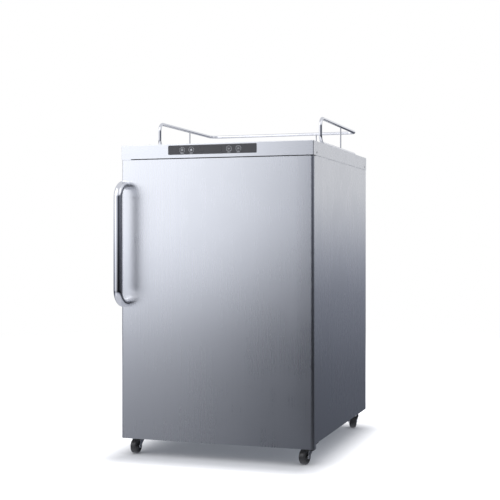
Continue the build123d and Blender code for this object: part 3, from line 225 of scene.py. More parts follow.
def bent_path(corners, bend, steps, closed=False):
    """Centres, and two directions across, along straight runs joined by equal arcs.

    Each arc turns the section by the arc's own rotation, so the section never twists. The centre of an
    arc lies bend away from both runs; a corner takes up bend times the tangent of half its turn."""
    corners = np.array(corners, dtype=float)
    count = len(corners)
    following = np.roll(corners, -1, axis=0)
    runs = (following - corners)[: count if closed else count - 1]
    headings = runs / np.linalg.norm(runs, axis=1)[:, None]
    first = headings[-1] if closed else headings[0]
    across = square_to(first)
    centres, sideways, upward = [], [], []

    def add(points, left, up):
        centres.append(np.atleast_2d(points))
        sideways.append(np.atleast_2d(left))
        upward.append(np.atleast_2d(up))

    heading = first
    up = np.cross(across, heading)
    if not closed:
        add(corners[0], across, up)
    for index in range(0 if closed else 1, count if closed else count - 1):
        coming = headings[index - 1]
        going = headings[index % len(headings)]
        axis = np.cross(coming, going)
        turn = math.acos(np.clip(coming @ going, -1, 1))
        axis /= np.linalg.norm(axis)
        start = corners[index] - coming * bend * math.tan(turn / 2)
        hub = start + np.cross(axis, coming) * bend
        angles = np.linspace(0, turn, steps + 1)
        add(hub + turned(start - hub, axis, angles),
            turned(across, axis, angles), turned(up, axis, angles))
        across, up = turned(across, axis, turn)[0], turned(up, axis, turn)[0]
    if not closed:
        add(corners[-1], across, up)
    return np.concatenate(centres), np.concatenate(sideways), np.concatenate(upward)


def tube(corners, radius, bend, sides=32, steps=14, closed=False, end_round=0.0):
    """Round bar: a circle of the given radius carried along a bent path.

    Where the bar is open, end_round rounds its two rims by a quarter circle of that radius."""
    centres, left, up = bent_path(corners, bend, steps, closed)
    radii = np.full(len(centres), radius)
    if not closed and end_round:
        centres, left, up, radii = rounded_ends(centres, left, up, radius, end_round)
    angle = np.linspace(0, 2 * np.pi, sides, endpoint=False)
    cosine, sine = np.cos(angle)[None, :, None], np.sin(angle)[None, :, None]
    ring = cosine * left[:, None, :] + sine * up[:, None, :]
    return skin(centres[:, None, :] + radii[:, None, None] * ring, wrap_rows=closed)


def rounded_ends(centres, left, up, radius, end_round):
    """Adds rings at both ends of a bar, whose radius falls by a quarter circle."""
    rings = 5
    quarter = np.linspace(0, np.pi / 2, rings)
    inset = end_round * (1 - np.sin(quarter))
    shrink = end_round * (1 - np.cos(quarter))
    head = (centres[1] - centres[0]) / np.linalg.norm(centres[1] - centres[0])
    tail = (centres[-1] - centres[-2]) / np.linalg.norm(centres[-1] - centres[-2])
    front = centres[0] + head * inset[::-1, None]
    back = centres[-1] - tail * inset[:, None]
    repeat = np.ones((rings, 1))
    centres = np.concatenate([front, centres[1:-1], back])
    left = np.concatenate([left[0] * repeat, left[1:-1], left[-1] * repeat])
    up = np.concatenate([up[0] * repeat, up[1:-1], up[-1] * repeat])
    between = np.full(len(centres) - 2 * rings, radius)
    radii = np.concatenate([radius - shrink[::-1], between, radius - shrink])
    return centres, left, up, radii


def lathe(profile, origin, axis, sides=48, closed=False, relief=None):
    """Turned shape: profile rows are (distance along the axis, radius), spun about the axis.

    relief, if given, takes radius and angle arrays and returns how far to sink the surface."""
    profile = np.array(profile, dtype=float)
    axis = np.array(axis, dtype=float)
    axis /= np.linalg.norm(axis)
    across = square_to(axis)
    up = np.cross(axis, across)
    angle = np.linspace(0, 2 * np.pi, sides, endpoint=False)
    spoke = np.cos(angle)[:, None] * across + np.sin(angle)[:, None] * up
    along = np.repeat(profile[:, 0][:, None], sides, axis=1)
    reach = np.repeat(profile[:, 1][:, None], sides, axis=1)
    if relief is not None:
        along = along - relief(reach, angle[None, :])
    points = np.array(origin) + along[..., None] * axis + reach[..., None] * spoke[None]
    return skin(points, wrap_rows=closed, capped=not closed)


def arc(centre, radius, start, end, steps):
    """Points (first, second) on a circle, from one angle to another in degrees."""
    angle = np.radians(np.linspace(start, end, steps))
    return np.stack([centre[0] + radius * np.cos(angle), centre[1] + radius * np.sin(angle)], -1)


def rounded_loop(half_x, half_z, radius, steps):
    """Closed rounded rectangle round the origin, as (x, z) rows, corner by corner."""
    x, z = half_x - radius, half_z - radius
    hubs = ((x, z), (-x, z), (-x, -z), (x, -z))
    corners = [arc(hub, radius, 90 * turn, 90 * turn + 90, steps) for turn, hub in enumerate(hubs)]
    return np.concatenate(corners)


def extruded(outline, low, high):
    """A closed outline of (x, z) rows drawn out from depth low to high."""
    outline = np.array(outline, dtype=float)
    points = np.zeros((2, len(outline), 3))
    points[:, :, 0] = outline[:, 0]
    points[:, :, 2] = outline[:, 1]
    points[:, :, 1] = [[low], [high]]
    return skin(points)


# ------------------------------------------------------------------ shared effects
def new_group(name, inputs, outputs):
    """An empty shader group with named sockets; returns it with its two end nodes."""
    group = bpy.data.node_groups.new(name, "ShaderNodeTree")
    for label, kind, value in inputs:
        socket = group.interface.new_socket(label, in_out="INPUT", socket_type=kind)
        socket.default_value = value
    for label, kind in outputs:
        group.interface.new_socket(label, in_out="OUTPUT", socket_type=kind)
    return group, group.nodes.new("NodeGroupInput"), group.nodes.new("NodeGroupOutput")


def node(tree, kind, links=(), **settings):
    """Adds a node; settings are its own fields, links are (input, source socket or value) pairs."""
    made = tree.nodes.new(kind)
    for field, value in settings.items():
        setattr(made, field, value)
    for label, source in links:
        if isinstance(source, bpy.types.NodeSocket):
            tree.links.new(source, made.inputs[label])
        else:
            made.inputs[label].default_value = source
    return made


def math_node(tree, operation, first, second=None, clamp=False):
    """One arithmetic step; returns its output."""
    links = [(0, first)] + ([(1, second)] if second is not None else [])
    return node(tree, "ShaderNodeMath", links, operation=operation, use_clamp=clamp).outputs[0]


def mapped(tree, value, from_low, from_high, to_low, to_high, smooth=False):
    """A value carried from one range to another."""
    links = [("Value", value), ("From Min", from_low), ("From Max", from_high),
             ("To Min", to_low), ("To Max", to_high)]
    kind = "SMOOTHSTEP" if smooth else "LINEAR"
    return node(tree, "ShaderNodeMapRange", links, interpolation_type=kind).outputs["Result"]


def noise(tree, vector, scale, detail=2.0, rough=0.5):
    """Noise value at a scaled place."""
    links = [("Vector", vector), ("Scale", scale), ("Detail", detail), ("Roughness", rough)]
    return node(tree, "ShaderNodeTexNoise", links).outputs["Fac"]


def stretched(tree, vector, scale):
    """A place multiplied axis by axis."""
    return node(tree, "ShaderNodeVectorMath", [(0, vector), (1, scale)], operation="MULTIPLY").outputs[0]


VECTOR = "NodeSocketVector"
NUMBER = "NodeSocketFloat"


def pattern_group(name):
    """A group with a scaled place that gives a tone and a height; returns it, that place and its end."""
    inputs = [("Vector", VECTOR, (0, 0, 0)), ("Scale", VECTOR, (1, 1, 1))]
    group, start, end = new_group(name, inputs, [("Tone", NUMBER), ("Height", NUMBER)])
    return group, stretched(group, start.outputs["Vector"], start.outputs["Scale"]), end


def two_noises(name, detail, rough, slow_scale, fine_share):
    """A fine noise, which is also the height, and a slower one, whose shares add up to the tone."""
    group, place, end = pattern_group(name)
    fine = noise(group, place, 1.0, detail, rough)
    slow = noise(group, place, slow_scale, 2.0, 0.5)
    tone = math_node(group, "ADD", math_node(group, "MULTIPLY", fine, fine_share),
                     math_node(group, "MULTIPLY", slow, 1.0 - fine_share))
    group.links.new(mapped(group, tone, 0.3, 0.7, 0.0, 1.0), end.inputs["Tone"])
    group.links.new(fine, end.inputs["Height"])
    return group


def grain_group():
    """Brushed grain: fine lines and broader soft bands, both drawn out along the axis of small scale."""
    return two_noises("Brushed grain", 3.0, 0.6, 0.16, 0.55)


def mould_group():
    """Moulded or sprayed skin: an even fine pebble with a faint slow change of tone."""
    return two_noises("Moulded skin", 2.0, 0.5, 0.03, 0.4)


def cell_group():
    """Cells: a different tone for each cell, and a height that falls towards each cell's border."""
    group, place, end = pattern_group("Cells")
    cells = node(group, "ShaderNodeTexVoronoi", [("Vector", place), ("Scale", 1.0)])
    tone = node(group, "ShaderNodeSeparateColor", [("Color", cells.outputs["Color"])]).outputs["Red"]
    group.links.new(tone, end.inputs["Tone"])
    group.links.new(mapped(group, cells.outputs["Distance"], 0.0, 0.8, 1.0, 0.0, True), end.inputs["Height"])
    return group


def smudge_group():
    """Wiping and finger marks: large soft clouds broken by finer ones."""
    group, start, end = new_group(
        "Smudges", [("Vector", VECTOR, (0, 0, 0)), ("Size", NUMBER, 6.0)], [("Mask", NUMBER)])
    cloud = noise(group, start.outputs["Vector"], start.outputs["Size"], 4.0, 0.6)
    group.links.new(mapped(group, cloud, 0.4, 0.7, 0.0, 1.0, True), end.inputs["Mask"])
    return group


def dust_group():
    """Floor dust: thick at the floor, gone at its reach, and broken up by noise."""
    group, start, end = new_group(
        "Floor dust", [("Vector", VECTOR, (0, 0, 0)), ("Reach", NUMBER, 0.1), ("Amount", NUMBER, 0.5)],
        [("Mask", NUMBER)])
    height = node(group, "ShaderNodeSeparateXYZ", [("Vector", start.outputs["Vector"])]).outputs["Z"]
    fall = mapped(group, height, 0.0, start.outputs["Reach"], 1.0, 0.0, True)
    patch = mapped(group, noise(group, start.outputs["Vector"], 90.0, 4.0, 0.65), 0.35, 0.7, 0.0, 1.0)
    mask = math_node(group, "MULTIPLY", math_node(group, "MULTIPLY", fall, patch), start.outputs["Amount"])
    group.links.new(mask, end.inputs["Mask"])
    return group


GROUP_MAKERS = {"grain": grain_group, "mould": mould_group, "cells": cell_group,
                "smudge": smudge_group, "dust": dust_group}
GROUPS = {}


def group_node(tree, name, links):
    """Places a shared effect, built the first time it is asked for, in a material."""
    if name not in GROUPS:
        GROUPS[name] = GROUP_MAKERS[name]()
    return node(tree, "ShaderNodeGroup", links, node_tree=GROUPS[name])


DUST_COLOUR = (0.42, 0.40, 0.37, 1.0)
DUST_REACH = 0.12                 # height above the floor at which the dust ends
DUST_ROUGHNESS = 0.5              # what full dust adds to the roughness
SMUDGE_SIZE = 5.0


def new_material(name):
    """A material with its tree and its shader."""
    material = bpy.data.materials.new(name)
    material.use_nodes = True
    return material, material.node_tree, material.node_tree.nodes["Principled BSDF"]


def object_place(tree):
    """The place of a point in its object."""
    return node(tree, "ShaderNodeTexCoord").outputs["Object"]


def finish(name, pattern, scale, dark, light, rough, metallic=0.0, bump=0.0, smudge=0.0, dust=0.0, **sockets):
    """One finish: tone and height from a shared pattern, roughness that follows tone, smudges and dust.

    dark and light are the colours between which the pattern's tone runs, rough the two roughness values,
    bump the depth of the relief in metres, and sockets hold plain values for the shader."""
    material, tree, shader = new_material(name)
    place = object_place(tree)
    drawn = group_node(tree, pattern, [("Vector", place), ("Scale", scale)])
    tone = drawn.outputs["Tone"]
    colour = colour_mix(tree, tone, (*dark, 1.0), (*light, 1.0))
    roughness = mapped(tree, tone, 0.0, 1.0, rough[0], rough[1])
    if smudge:
        mark = group_node(tree, "smudge", [("Vector", place), ("Size", SMUDGE_SIZE)]).outputs["Mask"]
        roughness = math_node(tree, "ADD", roughness, math_node(tree, "MULTIPLY", mark, smudge), clamp=True)
    if dust:
        links = [("Vector", place), ("Reach", DUST_REACH), ("Amount", dust)]
        settled = group_node(tree, "dust", links).outputs["Mask"]
        colour = colour_mix(tree, settled, colour, DUST_COLOUR)
        more = math_node(tree, "MULTIPLY", settled, DUST_ROUGHNESS)
        roughness = math_node(tree, "ADD", roughness, more, clamp=True)
    tree.links.new(colour, shader.inputs["Base Color"])
    tree.links.new(roughness, shader.inputs["Roughness"])
    shader.inputs["Metallic"].default_value = metallic
    if bump:
        relief = node(tree, "ShaderNodeBump", [("Height", drawn.outputs["Height"]), ("Distance", bump)])
        tree.links.new(relief.outputs["Normal"], shader.inputs["Normal"])
    for label, value in sockets.items():
        shader.inputs[label.replace("_", " ")].default_value = value
    return material


def colour_mix(tree, factor, first, second):
    """Colour between two colours; returns its output."""
    links = [("Factor", factor), (6, first), (7, second)]
    return node(tree, "ShaderNodeMix", links, data_type="RGBA").outputs[2]


def shade(colour, factor):
    """A colour made darker or lighter."""
    return tuple(min(1.0, part * factor) for part in colour)


# ------------------------------------------------------------------ settings
def colour_setting(name, text, value):
    return FloatVectorProperty(name=name, description=text, subtype="COLOR", size=3, min=0, max=1,
                               default=value)


def length_setting(name, text, value):
    return FloatProperty(name=name, description=text, unit="LENGTH", default=value, precision=5)


class CoolerFinishes(bpy.types.PropertyGroup):
    stainless: colour_setting("Stainless", "Brushed sheet of the door, sides and worktop", (0.84, 0.85, 0.87))
    polished: colour_setting("Polished steel", "Handle and guard rail", (0.83, 0.83, 0.85))
    zinc: colour_setting("Bright zinc", "Casters and bolts", (0.76, 0.77, 0.79))
    galvanised: colour_setting("Galvanised sheet", "Rear panel and base pan", (0.52, 0.54, 0.56))
    liner: colour_setting("Liner", "Moulded inside of the cabinet and door", (0.80, 0.81, 0.81))
    foam: colour_setting("Foam", "Insulation", (0.82, 0.72, 0.46))
    charcoal: colour_setting("Panel", "Overlay of the control panel", (0.050, 0.050, 0.055))
    keys: colour_setting("Keys", "Round keys", (0.085, 0.085, 0.092))
    marks: colour_setting("Marks", "Printed symbols and lines on the panel", (0.62, 0.64, 0.67))
    rubber: colour_setting("Rubber", "Caster wheels", (0.022, 0.022, 0.024))
    gasket: colour_setting("Gasket", "Door seal", (0.23, 0.235, 0.24))
    enamel: colour_setting("Enamel", "Compressor and condenser", (0.012, 0.012, 0.013))
    copper: colour_setting("Copper", "Refrigerant lines", (0.80, 0.42, 0.27))
    board: colour_setting("Circuit board", "Solder resist of the board", (0.02, 0.16, 0.07))
    grey: colour_setting("Grey plastic", "End caps and sleeves", (0.30, 0.31, 0.32))
    bracket: colour_setting("Bracket", "Blackened hinge steel", (0.075, 0.075, 0.08))
    grain_depth: length_setting("Grain depth", "Relief of the brushed grain", 0.0000025)


class CoolerSizes(bpy.types.PropertyGroup):
    tube_sides: IntProperty(name="Tube sides", description="Faces round a tube", default=40, min=12, max=96)
    door_sheet: length_setting("Door sheet", "Thickness of the door's wrap", 0.001)
    door_corner: length_setting("Door corner", "Radius of the door's upright edges", 0.008)
    handle_bend: length_setting("Handle bend", "Centre-line radius of the handle's two bends", 0.040)
    rail_bend: length_setting("Rail bend", "Centre-line radius of the guard rail's bends", 0.024)
    foot_flange: length_setting("Foot flange", "Height of the flange of a rail's foot", 0.003)
    gasket_folds: IntProperty(name="Gasket folds", description="Ribs across the door seal",
                              default=3, min=1, max=6)
    fan_blades: IntProperty(name="Fan blades", description="Number of fan blades", default=5, min=3, max=11)
    symbol_line: length_setting("Symbol line", "Width of the lines of a key's symbol", 0.0009)


class CoolerStage(bpy.types.PropertyGroup):
    camera_place: FloatVectorProperty(name="Camera", description="Where the camera stands", unit="LENGTH",
                                      size=3, default=(1.087, -2.951, 0.639))
    camera_turn: FloatProperty(name="Camera turn", description="Heading, left of straight ahead",
                               subtype="ANGLE", default=math.radians(16.66))
    lens: FloatProperty(name="Lens", description="Focal length in millimetres", default=71.0)
    shift: FloatVectorProperty(name="Shift", description="Lens shift", size=2, default=(-0.12, -0.018))
    studio: FloatProperty(name="Studio light", description="Strength of the room's light", default=1.0)
    key_light: FloatProperty(name="Key light", description="Power of the large soft light", unit="POWER",
                             default=26.0)
    card: FloatProperty(name="Card light", description="Strength of the soft card before the door",
                        default=0.66)
    floor_size: length_setting("Floor", "Side of the floor", 60.0)


def settings():
    """The three groups of settings of the current scene."""
    scene = bpy.context.scene
    return scene.cooler_finishes, scene.cooler_sizes, scene.cooler_stage


# ------------------------------------------------------------------ finishes
FINISHES = {}
UPRIGHT = (1500.0, 1500.0, 9.0)
LEVEL = (9.0, 1500.0, 1500.0)
FINE = (2400.0, 2400.0, 2400.0)
MEDIUM = (900.0, 900.0, 900.0)
SHEET = dict(metallic=1.0, bump=GRAIN, smudge=0.02, Anisotropic=0.75)
# key, name, pattern and its scale, colour (a setting or a value), its dark side (a share or a value),
# roughness from dark to light, and what else the finish has; a bump of GRAIN is the grain depth setting
FINISH_ROWS = (
    ("steel_upright", "Stainless upright grain", "grain", UPRIGHT, "stainless", 0.98, (0.26, 0.29), SHEET),
    ("steel_level", "Stainless level grain", "grain", LEVEL, "stainless", 0.98, (0.26, 0.29), SHEET),
    ("plate", "Pressed floor plate", "grain", LEVEL, "stainless", 0.8, (0.3, 0.42),
     dict(metallic=1.0, bump=GRAIN, smudge=0.12, top=0.92)),
    ("polished", "Polished steel", "mould", MEDIUM, "polished", 0.97, (0.07, 0.11),
     dict(metallic=1.0, smudge=0.04)),
    ("zinc", "Bright zinc", "mould", MEDIUM, "zinc", 0.86, (0.16, 0.26),
     dict(metallic=1.0, bump=0.00002, smudge=0.06, dust=0.06)),
    ("galvanised", "Galvanised sheet", "cells", (70.0, 70.0, 70.0), "galvanised", 0.82, (0.38, 0.55),
     dict(metallic=0.85, bump=0.00001, smudge=0.08)),
    ("liner", "White liner", "mould", MEDIUM, "liner", 0.96, (0.36, 0.44), dict(bump=0.00004, smudge=0.05)),
    ("foam", "Insulating foam", "cells", (650.0, 650.0, 650.0), "foam", 0.84, (0.85, 0.95),
     dict(bump=0.0004)),
    ("grey", "Grey moulding", "mould", FINE, "grey", 0.9, (0.45, 0.55), dict(bump=0.00006)),
    ("bracket", "Blackened steel", "mould", MEDIUM, "bracket", 0.8, (0.34, 0.46),
     dict(metallic=0.7, bump=0.00003, dust=0.2)),
    ("screw", "Blackened screw", "mould", FINE, (0.055, 0.055, 0.06), (0.03, 0.03, 0.033), (0.3, 0.42),
     dict(metallic=0.6, bump=0.00002)),
    ("charcoal", "Charcoal overlay", "mould", FINE, "charcoal", 0.88, (0.34, 0.42),
     dict(bump=0.00002, smudge=0.04)),
    ("glass", "Smoked window", "mould", MEDIUM, (0.014, 0.014, 0.017), (0.010, 0.010, 0.012), (0.05, 0.09),
     dict(smudge=0.05, Coat_Weight=0.6, Coat_Roughness=0.04)),
    ("key", "Soft key", "mould", FINE, "keys", 0.85, (0.42, 0.5), dict(bump=0.00003)),
    ("mark", "Printed marks", "mould", FINE, "marks", 0.92, (0.45, 0.55), {}),
    ("board", "Circuit board", "cells", (400.0, 400.0, 400.0), "board", 0.7, (0.25, 0.35),
     dict(bump=0.00002)),
    ("gasket", "Vinyl gasket", "mould", FINE, "gasket", 0.88, (0.5, 0.6), dict(bump=0.00003)),
    ("rubber", "Wheel rubber", "mould", MEDIUM, "rubber", 0.75, (0.3, 0.42), dict(bump=0.00004, dust=0.1)),
    ("enamel", "Black enamel", "mould", (500.0, 500.0, 500.0), "enamel", 0.8, (0.16, 0.24),
     dict(bump=0.00005, Coat_Weight=0.3, Coat_Roughness=0.1)),
    ("black", "Black moulding", "mould", FINE, (0.028, 0.028, 0.031), (0.018, 0.018, 0.02), (0.45, 0.55),
     dict(bump=0.00005)),
    ("copper", "Drawn copper", "mould", MEDIUM, "copper", 0.72, (0.24, 0.38),
     dict(metallic=1.0, bump=0.00001, smudge=0.15)),
    ("fins", "Aluminium fins", "grain", LEVEL, (0.80, 0.81, 0.82), (0.66, 0.67, 0.68), (0.3, 0.4),
     dict(metallic=1.0, bump=0.00002)),
    ("lens", "Frosted lens", "mould", FINE, (0.90, 0.92, 0.94), (0.84, 0.86, 0.88), (0.3, 0.4),
     dict(bump=0.00005, Subsurface_Weight=0.2)),
)


def build_finishes():
    """Every finish of the cooler, by key."""
    look, _, _ = settings()
    for key, name, pattern, scale, colour, dark, rough, more in FINISH_ROWS:
        more = dict(more)
        full = tuple(getattr(look, colour)) if isinstance(colour, str) else colour
        light = shade(full, more.pop("top", 1.0))
        shadow = shade(full, dark) if isinstance(dark, float) else dark
        if more.get("bump") == GRAIN:
            more["bump"] = look.grain_depth
        FINISHES[key] = finish(name, pattern, scale, shadow, light, rough, **more)


KEYS = ("power", "lock", "lower", "raise")
CORNERS = ("front_left", "front_right", "rear_left", "rear_right")
NODE_FINISHES = {
    "steel_upright": ("side_panel_left", "side_panel_right"),
    "steel_level": ("worktop", "hinge_blank_left"),
    "galvanised": ("rear_panel", "front_rail", "base_pan", "drain_tray"),
    "liner": ("liner_walls", "liner_ceiling", "liner_base", "door_liner", "evaporator_cover",
              "temperature_probe"),
    "foam": ("insulation_walls", "insulation_base", "insulation_top", "door_insulation"),
    "plate": ("keg_floor_plate",),
    "grey": ("tower_sleeve", "gas_port_sleeve", "door_end_caps"),
    "bracket": ("hinge_bracket_top", "hinge_bracket_bottom"),
    "charcoal": ("control_panel",),
    "glass": ("display_window",),
    "key": tuple("button_" + key for key in KEYS),
    "board": ("control_board",),
    "gasket": ("compressor_grommets",),
    "zinc": ("handle_bolts", "caster_screws", "caster_plates", *("caster_fork_" + one for one in CORNERS)),
    "enamel": ("compressor", "condenser"),
    "black": ("start_relay", "fan_motor", "power_gland"),
    "copper": ("filter_drier", "refrigerant_lines"),
    "fins": ("evaporator",),
    "lens": ("interior_lamp",),
}


class COOLER_OT_finishes(bpy.types.Operator):
    """Builds every finish and gives it to the frame's own nodes"""
    bl_idname = "cooler.finishes"
    bl_label = "Finishes"

    def execute(self, context):
        build_finishes()
        for name, nodes in NODE_FINISHES.items():
            for one in nodes:
                mesh = frame["nodes"][one].data
                mesh.materials.clear()
                mesh.materials.append(FINISHES[name])
        return {"FINISHED"}


# ------------------------------------------------------------------ door
def door_wrap_outline(low, high, sheet, corner):
    """Section of the door's wrap as two matching paths, outer and inner, from rear edge to rear edge.

    Each path is the right side, a quarter circle, the front face, a quarter circle and the left side; the
    inner path lies one sheet thickness inside the outer one."""
    def path(inset, radius):
        right, left, front, rear = high[0] - inset, low[0] + inset, low[1] + inset, high[1]
        side = np.linspace(rear, front + radius, 4)[:-1]
        face = np.linspace(right - radius, left + radius, 13)[1:-1]
        return np.concatenate([
            np.stack([np.full(3, right), side], -1),
            arc((right - radius, front + radius), radius, 0, -90, 17),
            np.stack([face, np.full(len(face), front)], -1),
            arc((left + radius, front + radius), radius, -90, -180, 17),
            np.stack([np.full(3, left), side[::-1]], -1),
        ])
    return path(0.0, corner), path(sheet, corner - sheet)


class COOLER_OT_door_wrap(bpy.types.Operator):
    """The door's stainless wrap with its rounded upright edges"""
    bl_idname = "cooler.door_wrap"
    bl_label = "Door wrap"

    def execute(self, context):
        _, size, _ = settings()
        low, high = node_box("door_skin")
        outer, inner = door_wrap_outline(low, high, size.door_sheet, size.door_corner)
        loop = np.concatenate([outer, inner[::-1]])
        levels = np.linspace(low[2], high[2], 9)
        points = np.zeros((len(levels), len(loop), 3))
        points[:, :, :2] = loop[None]
        points[:, :, 2] = levels[:, None]
        vertices, faces = skin(points, capped=False)
        count = len(outer)
        index = np.arange(count - 1)
        rim = np.stack([index, index + 1, 2 * count - 2 - index, 2 * count - 1 - index], -1)
        top = rim[:, ::-1] + (len(levels) - 1) * len(loop)
        piece("door_wrap", (vertices, faces + [rim, top]), DOOR,
              FINISHES["steel_upright"], ["door_skin"], 30.0)
        return {"FINISHED"}


GASKET_WIDTH = 0.0155             # across the seal
GASKET_CORNER = 0.0045            # radius of the seal's outer corners


class COOLER_OT_gasket(bpy.types.Operator):
    """The ribbed bellows of the door seal"""
    bl_idname = "cooler.gasket"
    bl_label = "Door gasket"

    def execute(self, context):
        _, size, _ = settings()
        low, high = node_box("door_gasket")
        middle = (low + high) / 2
        width, thick = GASKET_WIDTH, high[1] - low[1]
        across = np.linspace(0, 1, 41)
        ribs = np.abs(np.sin(np.pi * size.gasket_folds * across))
        back = thick * (0.55 + 0.45 * ribs * np.sin(np.pi * across) ** 0.3)
        section = np.concatenate([
            np.stack([across * width, np.zeros_like(across)], -1),
            np.stack([across[::-1] * width, back[::-1]], -1),
        ])
        rows = []
        for inset, depth in section:
            half_x = (high[0] - low[0]) / 2 - inset
            half_z = (high[2] - low[2]) / 2 - inset
            loop = rounded_loop(half_x, half_z, GASKET_CORNER - inset * 0.2, 7)
            rows.append(np.stack([middle[0] + loop[:, 0], np.full(len(loop), low[1] + depth),
                                  middle[2] + loop[:, 1]], -1))
        shape = skin(np.stack(rows), wrap_rows=True)
        piece("gasket_bellows", shape, DOOR, FINISHES["gasket"], ["door_gasket"])
        return {"FINISHED"}


class COOLER_OT_handle(bpy.types.Operator):
    """The door's bent tubular handle"""
    bl_idname = "cooler.handle"
    bl_label = "Door handle"

    def execute(self, context):
        _, size, _ = settings()
        low, high = node_box("door_handle")
        radius = (high[0] - low[0]) / 2
        x = (low[0] + high[0]) / 2
        front, back = low[1] + radius, high[1]
        lower, upper = low[2] + radius, high[2] - radius
        corners = [(x, back, upper), (x, front, upper), (x, front, lower), (x, back, lower)]
        shape = tube(corners, radius, size.handle_bend, size.tube_sides + 8, 28, end_round=0.0006)
        piece("handle_bar", shape, DOOR, FINISHES["polished"], ["door_handle"])
        return {"FINISHED"}


# ------------------------------------------------------------------ worktop
class COOLER_OT_guard_rail(bpy.types.Operator):
    """The guard rail's closed loop of tube, its pickets and its feet"""
    bl_idname = "cooler.guard_rail"
    bl_label = "Guard rail"

    def execute(self, context):
        _, size, _ = settings()
        low, high = node_box("guard_rail")
        picket = solid_boxes("rail_pickets")
        left_picket = picket[0]
        radius = high[0] + (left_picket[0][0] + left_picket[1][0]) / 2
        x0, y0, z0 = low + radius
        x1, y1, z1 = high - radius
        corners = [(x1, y1, z1), (x1, y0, z1), (x1, y0, z0), (x1, y1, z0),
                   (x0, y1, z0), (x0, y0, z0), (x0, y0, z1), (x0, y1, z1)]
        shape = tube(corners, radius, size.rail_bend, size.tube_sides, 18, closed=True)
        piece("rail_loop", shape, CABINET, FINISHES["polished"], ["guard_rail"])
        bars = []
        for one_low, one_high in picket:
            thick = (one_high[0] - one_low[0]) / 2
            middle = (one_low + one_high) / 2
            run = [(middle[0], middle[1], z0), (middle[0], middle[1], z1)]
            bars.append(tube(run, thick, 0.0, 20))
        piece("rail_bars", joined(bars), CABINET, FINISHES["polished"], ["rail_pickets"])
        feet = []
        for one_low, one_high in solid_boxes("rail_feet"):
            middle = (one_low + one_high) / 2
            reach = (one_high[0] - one_low[0]) / 2
            tall = z0 - one_low[2]
            flange = size.foot_flange
            profile = [(0, reach), (flange * 0.7, reach), (flange, reach * 0.93),
                       (flange * 1.2, reach * 0.66), (flange * 1.6, reach * 0.56), (tall, reach * 0.56)]
            feet.append(lathe(profile, (middle[0], middle[1], one_low[2]), (0, 0, 1), 28))
        piece("rail_posts", joined(feet), CABINET, FINISHES["polished"],
              ["rail_feet"], 35.0)
        return {"FINISHED"}


# ------------------------------------------------------------------ screws
def cross_recess(depth, arm, width):
    """Relief of a cross slot: deep where a point lies within the arms' length and half width."""
    def relief(reach, angle):
        x, y = reach * np.cos(angle), reach * np.sin(angle)
        slot = np.minimum(np.abs(x), np.abs(y)) < width / 2
        inside = np.maximum(np.abs(x), np.abs(y)) < arm
        return np.where(slot & inside, depth, 0.0)
    return relief


SCREW_RISE = 0.0011               # height of a screw's head


def screw_head(centre, axis, radius):
    """Domed head with a cross slot, standing out along axis from its seat at centre."""
    ease = np.linspace(1, 0, 6)
    rise = SCREW_RISE * (0.55 + 0.45 * np.cos(ease * np.pi / 2))
    dome = np.stack([rise, radius * (0.02 + 0.86 * ease)], -1)
    rim = [(0, radius), (SCREW_RISE * 0.4, radius), (SCREW_RISE * 0.55, radius * 0.95)]
    slot = cross_recess(SCREW_RISE * 0.45, radius * 0.55, radius * 0.24)
    return lathe(np.concatenate([rim, dome]), centre, axis, 32, relief=slot)


class COOLER_OT_screws(bpy.types.Operator):
    """Cross-slotted heads of the screws that can be seen on the panels"""
    bl_idname = "cooler.screws"
    bl_label = "Screws"

    def execute(self, context):
        heads = []
        for low, high in solid_boxes("panel_screws"):
            span = high - low       # two sides are the head's width; the screw's own direction is the third
            axis_index = int(np.argmax(np.abs(span - np.median(span))))
            middle = (low + high) / 2
            wide = np.delete(span, axis_index).max() / 2
            axis = np.zeros(3)
            seat = middle.copy()
            if axis_index == 0:
                axis[0] = math.copysign(1, middle[0])
                outer = high[0] if axis[0] > 0 else low[0]
            else:
                axis[axis_index] = -1
                outer = low[axis_index]
            seat[axis_index] = outer - axis[axis_index] * SCREW_RISE
            heads.append(screw_head(seat, axis, wide))
            tip = middle.copy()
            tip[axis_index] = (low if axis[axis_index] > 0 else high)[axis_index]
            shank = [(0, wide * 0.5), (np.linalg.norm(tip - seat), wide * 0.5)]
            heads.append(lathe(shank, seat, -axis, 16))
        piece("screw_heads", joined(heads), CABINET, FINISHES["screw"],
              ["panel_screws"], 30.0)
        return {"FINISHED"}


# ------------------------------------------------------------------ control panel
def bar_shape(start, end, width, low, high):
    """Flat bar with round ends between two (x, z) points, from depth low to high."""
    start, end = np.array(start), np.array(end)
    heading = math.degrees(math.atan2(*(end - start)[::-1]))
    outline = np.concatenate([arc(end, width / 2, heading - 90, heading + 90, 9),
                              arc(start, width / 2, heading + 90, heading + 270, 9)])
    return extruded(outline, low, high)


def ring_shape(centre, radius, width, start, end, low, high):
    """Flat arc band about an (x, z) centre, from depth low to high."""
    steps = max(8, int(abs(end - start) / 8))
    outer = arc(centre, radius + width / 2, start, end, steps)
    inner = arc(centre, radius - width / 2, start, end, steps)
    closed = abs(end - start) >= 359
    rows = [np.stack([flat[:, 0], np.full(steps, level), flat[:, 1]], -1)
            for level, flat in ((low, inner), (low, outer), (high, outer), (high, inner))]
    points = np.stack(rows, axis=1)
    return skin(points[:-1], wrap_rows=True) if closed else skin(points)


